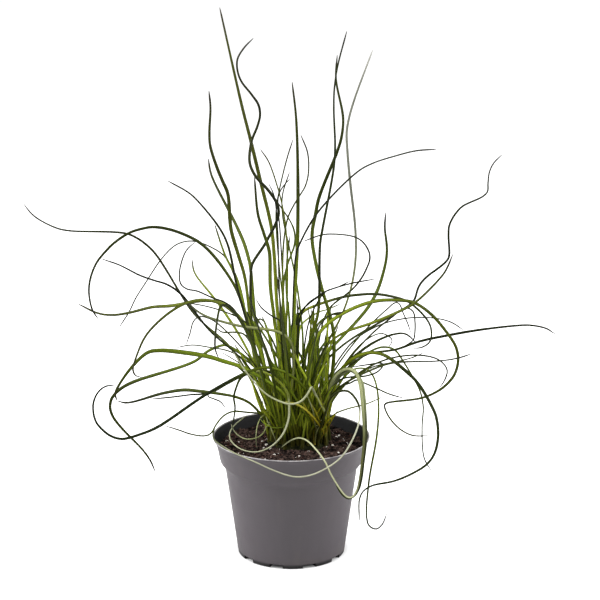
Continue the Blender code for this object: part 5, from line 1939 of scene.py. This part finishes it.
@dataclass
class Pot:
    """The round nursery pot: a thin shell with a deep band, a lip and drain notches."""

    height: float = 0.093
    rim_radius: float = 0.060
    lip_inner_radius: float = 0.0587
    flare_radius: float = 0.0577
    flare_z: float = 0.0894
    band_top_radius: float = 0.0564
    band_top_z: float = 0.0845
    band_low_radius: float = 0.0542
    band_low_z: float = 0.0735
    wall_top_radius: float = 0.0506
    wall_top_z: float = 0.0695
    base_radius: float = 0.0412
    wall: float = 0.0012
    floor: float = 0.0016
    segments: int = 180
    corner_steps: int = 4
    crease: float = math.radians(38)
    notch_count: int = 10
    notch_height: float = 0.0031
    notch_angle: float = math.radians(14.5)
    notch_inner_radius: float = 0.0345
    notch_outer_radius: float = 0.0460
    notch_first_angle: float = math.radians(-70.2)

    def profile(self) -> list[tuple[float, float, float]]:
        """List the shell's section from the underside's middle round to the floor's.

        Returns:
            The radius, the height and the rounding of each corner.
        """
        wall = self.wall
        lean = (self.wall_top_radius - self.base_radius) / self.wall_top_z
        return [
            (0.0, 0.0, 0.0),
            (self.base_radius - 0.0002, 0.0, 0.0008),
            (self.wall_top_radius, self.wall_top_z, 0.0018),
            (self.band_low_radius, self.band_low_z, 0.0016),
            (self.band_top_radius, self.band_top_z, 0.0030),
            (self.flare_radius, self.flare_z, 0.0014),
            (self.rim_radius - 0.0003, self.height - 0.0014, 0.0004),
            (self.rim_radius, self.height - 0.0004, 0.0004),
            (self.rim_radius - 0.0006, self.height, 0.0004),
            (self.lip_inner_radius, self.height - 0.0005, 0.0004),
            (self.flare_radius - wall, self.flare_z + 0.0004, 0.0014),
            (self.band_top_radius - wall, self.band_top_z + 0.0001, 0.0030),
            (self.band_low_radius - wall, self.band_low_z + 0.0008, 0.0016),
            (self.wall_top_radius - wall, self.wall_top_z + 0.0008, 0.0018),
            (self.base_radius - wall + lean * self.floor, self.floor, 0.0008),
            (0.0, self.floor, 0.0),
        ]

    def notches(self) -> bpy.types.Object:
        """Make the blocks that cut the drain notches.

        Returns:
            The blocks as one object.
        """
        vertices = []
        faces = []
        for number in range(self.notch_count):
            middle = self.notch_first_angle + 2 * math.pi * number / self.notch_count
            first = len(vertices)
            for height in (-self.notch_height, self.notch_height):
                for radius in (self.notch_inner_radius, self.notch_outer_radius):
                    for side in (-0.5, 0.5):
                        turn = middle + side * self.notch_angle
                        vertices.append((radius * math.cos(turn), radius * math.sin(turn), height))
            faces.extend([first + corner for corner in corners] for corners in BLOCK_FACES)
        return build_mesh("notch_cutter", vertices, faces, smooth=False)

    def build(self) -> None:
        """Turn the shell, cut the notches and dress it."""
        outline = rounded(self.profile(), self.corner_steps)
        shell = build_mesh("pot_shell", *turned_mesh(outline, self.segments))
        cutter = self.notches()
        cut = shell.modifiers.new("drain_notches", "BOOLEAN")
        cut.operation = "DIFFERENCE"
        cut.solver = "EXACT"
        cut.object = cutter
        settle(shell)
        bpy.data.objects.remove(cutter)
        shell.data.shade_smooth()
        shell.data.set_sharp_from_angle(angle=self.crease)
        dress(shell, PLASTIC_FINISH.material())
        hand_over(shell, ("pot",))


@dataclass(frozen=True)
class Bits:
    """One kind of bit on the soil: how dense it lies, and its gaps and sizes in metres."""

    name: str
    finish: EarthFinish
    density: float
    spacing: float
    smallest: float
    largest: float
    tumble: float = 1.0


CRUMBS = Bits("peat_crumbs", CRUMB_FINISH, 700000.0, 0.0011, 0.0007, 0.0032)
CHIPS = Bits("bark_chips", CHIP_FINISH, 40000.0, 0.0020, 0.0007, 0.0020)
GRAINS = Bits("perlite_grains", PERLITE_FINISH, 9500.0, 0.0034, 0.0008, 0.0030)
FIBRES = Bits("peat_fibres", FIBRE_FINISH, 40000.0, 0.002, 0.003, 0.0075, tumble=0.25)


@dataclass
class Soil:
    """Dark peat in the pot, with crumbs, bark chips, white grains and reddish fibres.

    Each of the bumps is the scale and the layer of a noise and its share of the rise.
    """

    clump: Clump
    top: float = 0.0835
    radius: float = 0.0545
    skirt: float = 0.010
    skirt_inset: float = 0.0016
    rings: int = 70
    segments: int = 200
    rise: float = 0.0028
    bumps: tuple[Point, ...] = ((70.0, 0.3, 0.7), (330.0, 1.7, 0.45), (900.0, 4.1, 0.25))
    edge_from: float = 0.048
    edge_width: float = 0.007
    edge_rise: float = 0.0012
    bare_crown: float = 0.92
    bare_depth: float = 0.004
    bare_radius: float = 0.0535
    lump_scale: float = 2.3
    lump_layer: Point = (5.0, 1.0, 2.0)
    fibre_radius: float = 0.045
    fibre_taper: float = 0.6
    fibre_bend: float = 0.12
    fibre_corners: int = 5
    fibre_steps: int = 4
    seed: int = 7

    def height(self, x: float, y: float) -> float:
        """Find the soil's height at a place.

        Args:
            x: metres to the right of the pot's axis.
            y: metres behind it.

        Returns:
            The height in metres.
        """
        bumps = sum(
            share * noise.noise(Vector((x * scale, y * scale, layer)))
            for scale, layer, share in self.bumps
        )
        edge = max(0.0, math.hypot(x, y) - self.edge_from) / self.edge_width
        return self.top + self.rise * bumps + self.edge_rise * edge

    def bed(self, name: str) -> bpy.types.Object:
        """Make the uneven bed of peat, closed underneath.

        Args:
            name: the object's name.

        Returns:
            The bed.
        """
        vertices = [(0.0, 0.0, self.height(0.0, 0.0))]
        angles = [2 * math.pi * step / self.segments for step in range(self.segments)]
        for ring in range(1, self.rings + 1):
            radius = self.radius * ring / self.rings
            for angle in angles:
                x, y = radius * math.cos(angle), radius * math.sin(angle)
                vertices.append((x, y, self.height(x, y)))
        low = self.radius - self.skirt_inset
        for angle in angles:
            vertices.append((low * math.cos(angle), low * math.sin(angle), self.top - self.skirt))
        return build_mesh(name, vertices, disc_faces(self.rings, self.segments))

    def lump(self, name: str, subdivisions: int, roughness: float) -> bpy.types.Object:
        """Make one rough lump a metre across, to strew in small sizes.

        Args:
            name: the object's name.
            subdivisions: how finely the ball is divided that it is made from.
            roughness: how far its surface goes in and out.

        Returns:
            The lump.
        """
        work = bmesh.new()
        bmesh.ops.create_icosphere(work, subdivisions=subdivisions, radius=0.5)
        for vertex in work.verts:
            place = vertex.co * self.lump_scale + Vector(self.lump_layer)
            vertex.co *= 1.0 + roughness * noise.noise(place)
        mesh = bpy.data.meshes.new(name)
        work.to_mesh(mesh)
        work.free()
        return link_mesh(name, mesh)

    def fibre(self) -> bpy.types.Object:
        """Make one bent fibre a metre long, to strew in small sizes.

        Returns:
            The fibre.
        """
        corners, steps = self.fibre_corners, self.fibre_steps
        vertices = []
        for step in range(steps + 1):
            share = step / steps
            radius = self.fibre_radius * (1.0 - self.fibre_taper * abs(2 * share - 1))
            bend = self.fibre_bend * math.sin(math.pi * share)
            for side in range(corners):
                angle = 2 * math.pi * side / corners
                vertices.append((share - 0.5, radius * math.cos(angle) + bend, radius * math.sin(angle)))
        faces = [tuple(range(corners)), tuple(range(steps * corners, (steps + 1) * corners))]
        for step in range(steps):
            for side in range(corners):
                after = (side + 1) % corners
                low = step * corners
                faces.append((low + side, low + after, low + corners + after, low + corners + side))
        return build_mesh("fibre_shape", vertices, faces)

    def strew(self, bits: Bits, shape: bpy.types.Object, tree: bpy.types.NodeTree) -> None:
        """Strew one kind of bit over the soil between the crown and the pot.

        Args:
            bits: the kind of bit.
            shape: one of them, a metre across. It is removed afterwards.
            tree: the node tree that strews.
        """
        piece = self.bed(bits.name)
        work = bmesh.new()
        work.from_mesh(piece.data)
        hidden = [face for face in work.faces if self.is_bare(face.calc_center_median())]
        bmesh.ops.delete(work, geom=hidden, context="FACES")
        work.to_mesh(piece.data)
        work.free()
        values = {
            "Shape": shape,
            "Density": bits.density,
            "Spacing": bits.spacing,
            "Smallest": bits.smallest,
            "Largest": bits.largest,
            "Tumble": bits.tumble,
            "Seed": self.seed,
            "Finish": bits.finish.material(),
        }
        add_nodes_modifier(piece, tree, values)
        settle(piece)
        bpy.data.objects.remove(shape)
        hand_over(piece)

    def is_bare(self, place: Vector) -> bool:
        """Say whether no bits lie at a place: under the crown, at the wall or below the top.

        Args:
            place: the place on the bed.

        Returns:
            Whether it stays bare.
        """
        under_crown = self.clump.share(place.x, place.y) < self.bare_crown
        at_wall = math.hypot(place.x, place.y) > self.bare_radius
        return under_crown or at_wall or place.z < self.top - self.bare_depth

    def build(self) -> None:
        """Make the bed and strew the crumbs, the chips, the perlite and the fibres."""
        bed = self.bed("soil_bed")
        dress(bed, PEAT_FINISH.material())
        hand_over(bed, ("soil",))
        tree = make_scatter_tree()
        self.strew(CRUMBS, self.lump("crumb_shape", subdivisions=1, roughness=0.5), tree)
        self.strew(CHIPS, self.lump("chip_shape", subdivisions=1, roughness=0.7), tree)
        self.strew(GRAINS, self.lump("grain_shape", subdivisions=2, roughness=0.4), tree)
        self.strew(FIBRES, self.fibre(), tree)


@dataclass
class Crown:
    """The low clump of old stem bases that the stems rise from."""

    clump: Clump
    bottom: float = 0.0830
    skirt: float = 0.003
    rise: float = 0.0066
    rings: int = 30
    segments: int = 96
    ragged: float = 0.05
    ragged_scale: float = 3.0
    knob_height: float = 0.0012
    knob_radius: float = 0.0022
    rough_share: float = 0.6
    rough_scale: float = 260.0
    rough_layer: float = 2.0

    def height(self, x: float, y: float, share: float, knobs: np.ndarray) -> float:
        """Find the clump's height at a place, raised around each stem's foot.

        Args:
            x: metres to the right of the pot's axis.
            y: metres behind it.
            share: how far out the place is, 0 at the middle and 1 at the edge.
            knobs: where the stems' feet are.

        Returns:
            The height in metres.
        """
        near = np.hypot(knobs[:, 0] - x, knobs[:, 1] - y)
        knob = float(np.exp(-(near / self.knob_radius) ** 2).max())
        rough = noise.noise(Vector((x * self.rough_scale, y * self.rough_scale, self.rough_layer)))
        bumps = self.knob_height * (knob + self.rough_share * rough)
        return self.bottom + self.rise * (1.0 - share ** 3) + bumps

    def build(self, stems: list[Route]) -> None:
        """Make the clump around some stems' feet and dress it.

        Args:
            stems: the stems' routes.
        """
        knobs = np.array([stem.points[0][:2] for stem in stems])
        clump = self.clump
        vertices = [(*clump.centre, self.height(*clump.centre, 0.0, knobs))]
        for ring in range(1, self.rings + 1):
            share = ring / self.rings
            for step in range(self.segments):
                angle = 2 * math.pi * step / self.segments
                across, back = math.cos(angle), math.sin(angle)
                place = Vector((self.ragged_scale * across, self.ragged_scale * back, share))
                ragged = 1.0 + self.ragged * noise.noise(place)
                x = clump.centre[0] + clump.half_width * share * ragged * across
                y = clump.centre[1] + clump.half_depth * share * ragged * back
                vertices.append((x, y, self.height(x, y, share, knobs)))
        edge = vertices[-self.segments:]
        vertices.extend((x, y, self.bottom - self.skirt) for x, y, _ in edge)
        piece = build_mesh("crown_clump", vertices, disc_faces(self.rings, self.segments))
        dress(piece, CLUMP_FINISH.material())
        hand_over(piece, ("crown",))


def turn_towards(piece: bpy.types.Object, place: Point, aim: Point) -> None:
    """Put a camera or a light at a place and point it at another one.

    Args:
        piece: the camera or light.
        place: where it stands or hangs.
        aim: what it points at.
    """
    bpy.context.collection.objects.link(piece)
    piece.location = place
    towards = Vector(aim) - Vector(place)
    piece.rotation_mode = "QUATERNION"
    piece.rotation_quaternion = towards.to_track_quat("-Z", "Y")


@dataclass
class Studio:
    """A pale floor, soft lights and the camera."""

    camera_place: Point = VIEWER
    camera_aim: Point = (0.0067, 0.0, 0.199)
    view_angle: float = math.radians(18.596)
    sensor_width: float = 36.0
    clip_start: float = 0.05
    clip_end: float = 200.0
    floor_half: float = 60.0
    sky: float = 0.34
    backdrop: float = 1.1
    light_aim: Point = (0.0, 0.0, 0.2)

    def build_camera(self) -> None:
        """Place the camera at the photograph's angle."""
        data = bpy.data.cameras.new("camera")
        data.sensor_width = self.sensor_width
        data.angle = self.view_angle
        data.clip_start = self.clip_start
        data.clip_end = self.clip_end
        camera = bpy.data.objects.new("camera", data)
        turn_towards(camera, self.camera_place, self.camera_aim)
        bpy.context.scene.camera = camera

    def build_floor(self) -> None:
        """Lay the floor."""
        half = self.floor_half
        corners = [(-half, -half, 0.0), (half, -half, 0.0), (half, half, 0.0), (-half, half, 0.0)]
        floor = build_mesh("studio_floor", corners, [(0, 1, 2, 3)], smooth=False)
        dress(floor, FLOOR_FINISH.material())

    def add_light(self, name: str, place: Point, size: float, power: float) -> None:
        """Add one square soft light that points at the plant.

        Args:
            name: the light's name.
            place: where it hangs.
            size: its width.
            power: its power in watts.
        """
        data = bpy.data.lights.new(name, "AREA")
        data.shape = "SQUARE"
        data.size = size
        data.energy = power
        turn_towards(bpy.data.objects.new(name, data), place, self.light_aim)

    def build(self) -> None:
        """Make the sky, the floor, the lights and the camera."""
        world = bpy.data.worlds.new("studio_sky")
        world.use_nodes = True
        graph = Graph(world.node_tree)
        seen = graph.add("ShaderNodeLightPath").outputs["Is Camera Ray"]
        strength = graph.scaled(seen, self.backdrop - self.sky, self.sky)
        background = world.node_tree.nodes["Background"]
        background.inputs["Color"].default_value = (1.0, 1.0, 1.0, 1.0)
        graph.feed(background.inputs["Strength"], strength)
        bpy.context.scene.world = world
        bpy.context.scene.view_settings.view_transform = "Standard"
        self.build_floor()
        self.add_light("light_left", (-1.7, 0.1, 0.9), 1.1, 48.0)
        self.add_light("light_right", (1.7, 0.2, 0.9), 1.1, 44.0)
        self.add_light("light_top", (-0.2, -0.5, 2.0), 0.8, 42.0)
        self.build_camera()


def main() -> None:
    """Build the looks piece by piece."""
    logging.basicConfig(level=logging.INFO, format="%(name)s %(message)s")
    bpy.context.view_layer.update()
    Studio().build()
    clump = Clump.from_frame()
    Pot().build()
    Soil(clump).build()
    sweeper = Sweeper()
    stems = Stems(sweeper)
    stems.build()
    fine = FineStems(sweeper, Filler(clump))
    fine.build()
    rooted = stems.routes + fine.routes
    Crown(clump).build(rooted)
    Sheaths(sweeper).build(rooted)


if __name__ == "__main__":
    main()
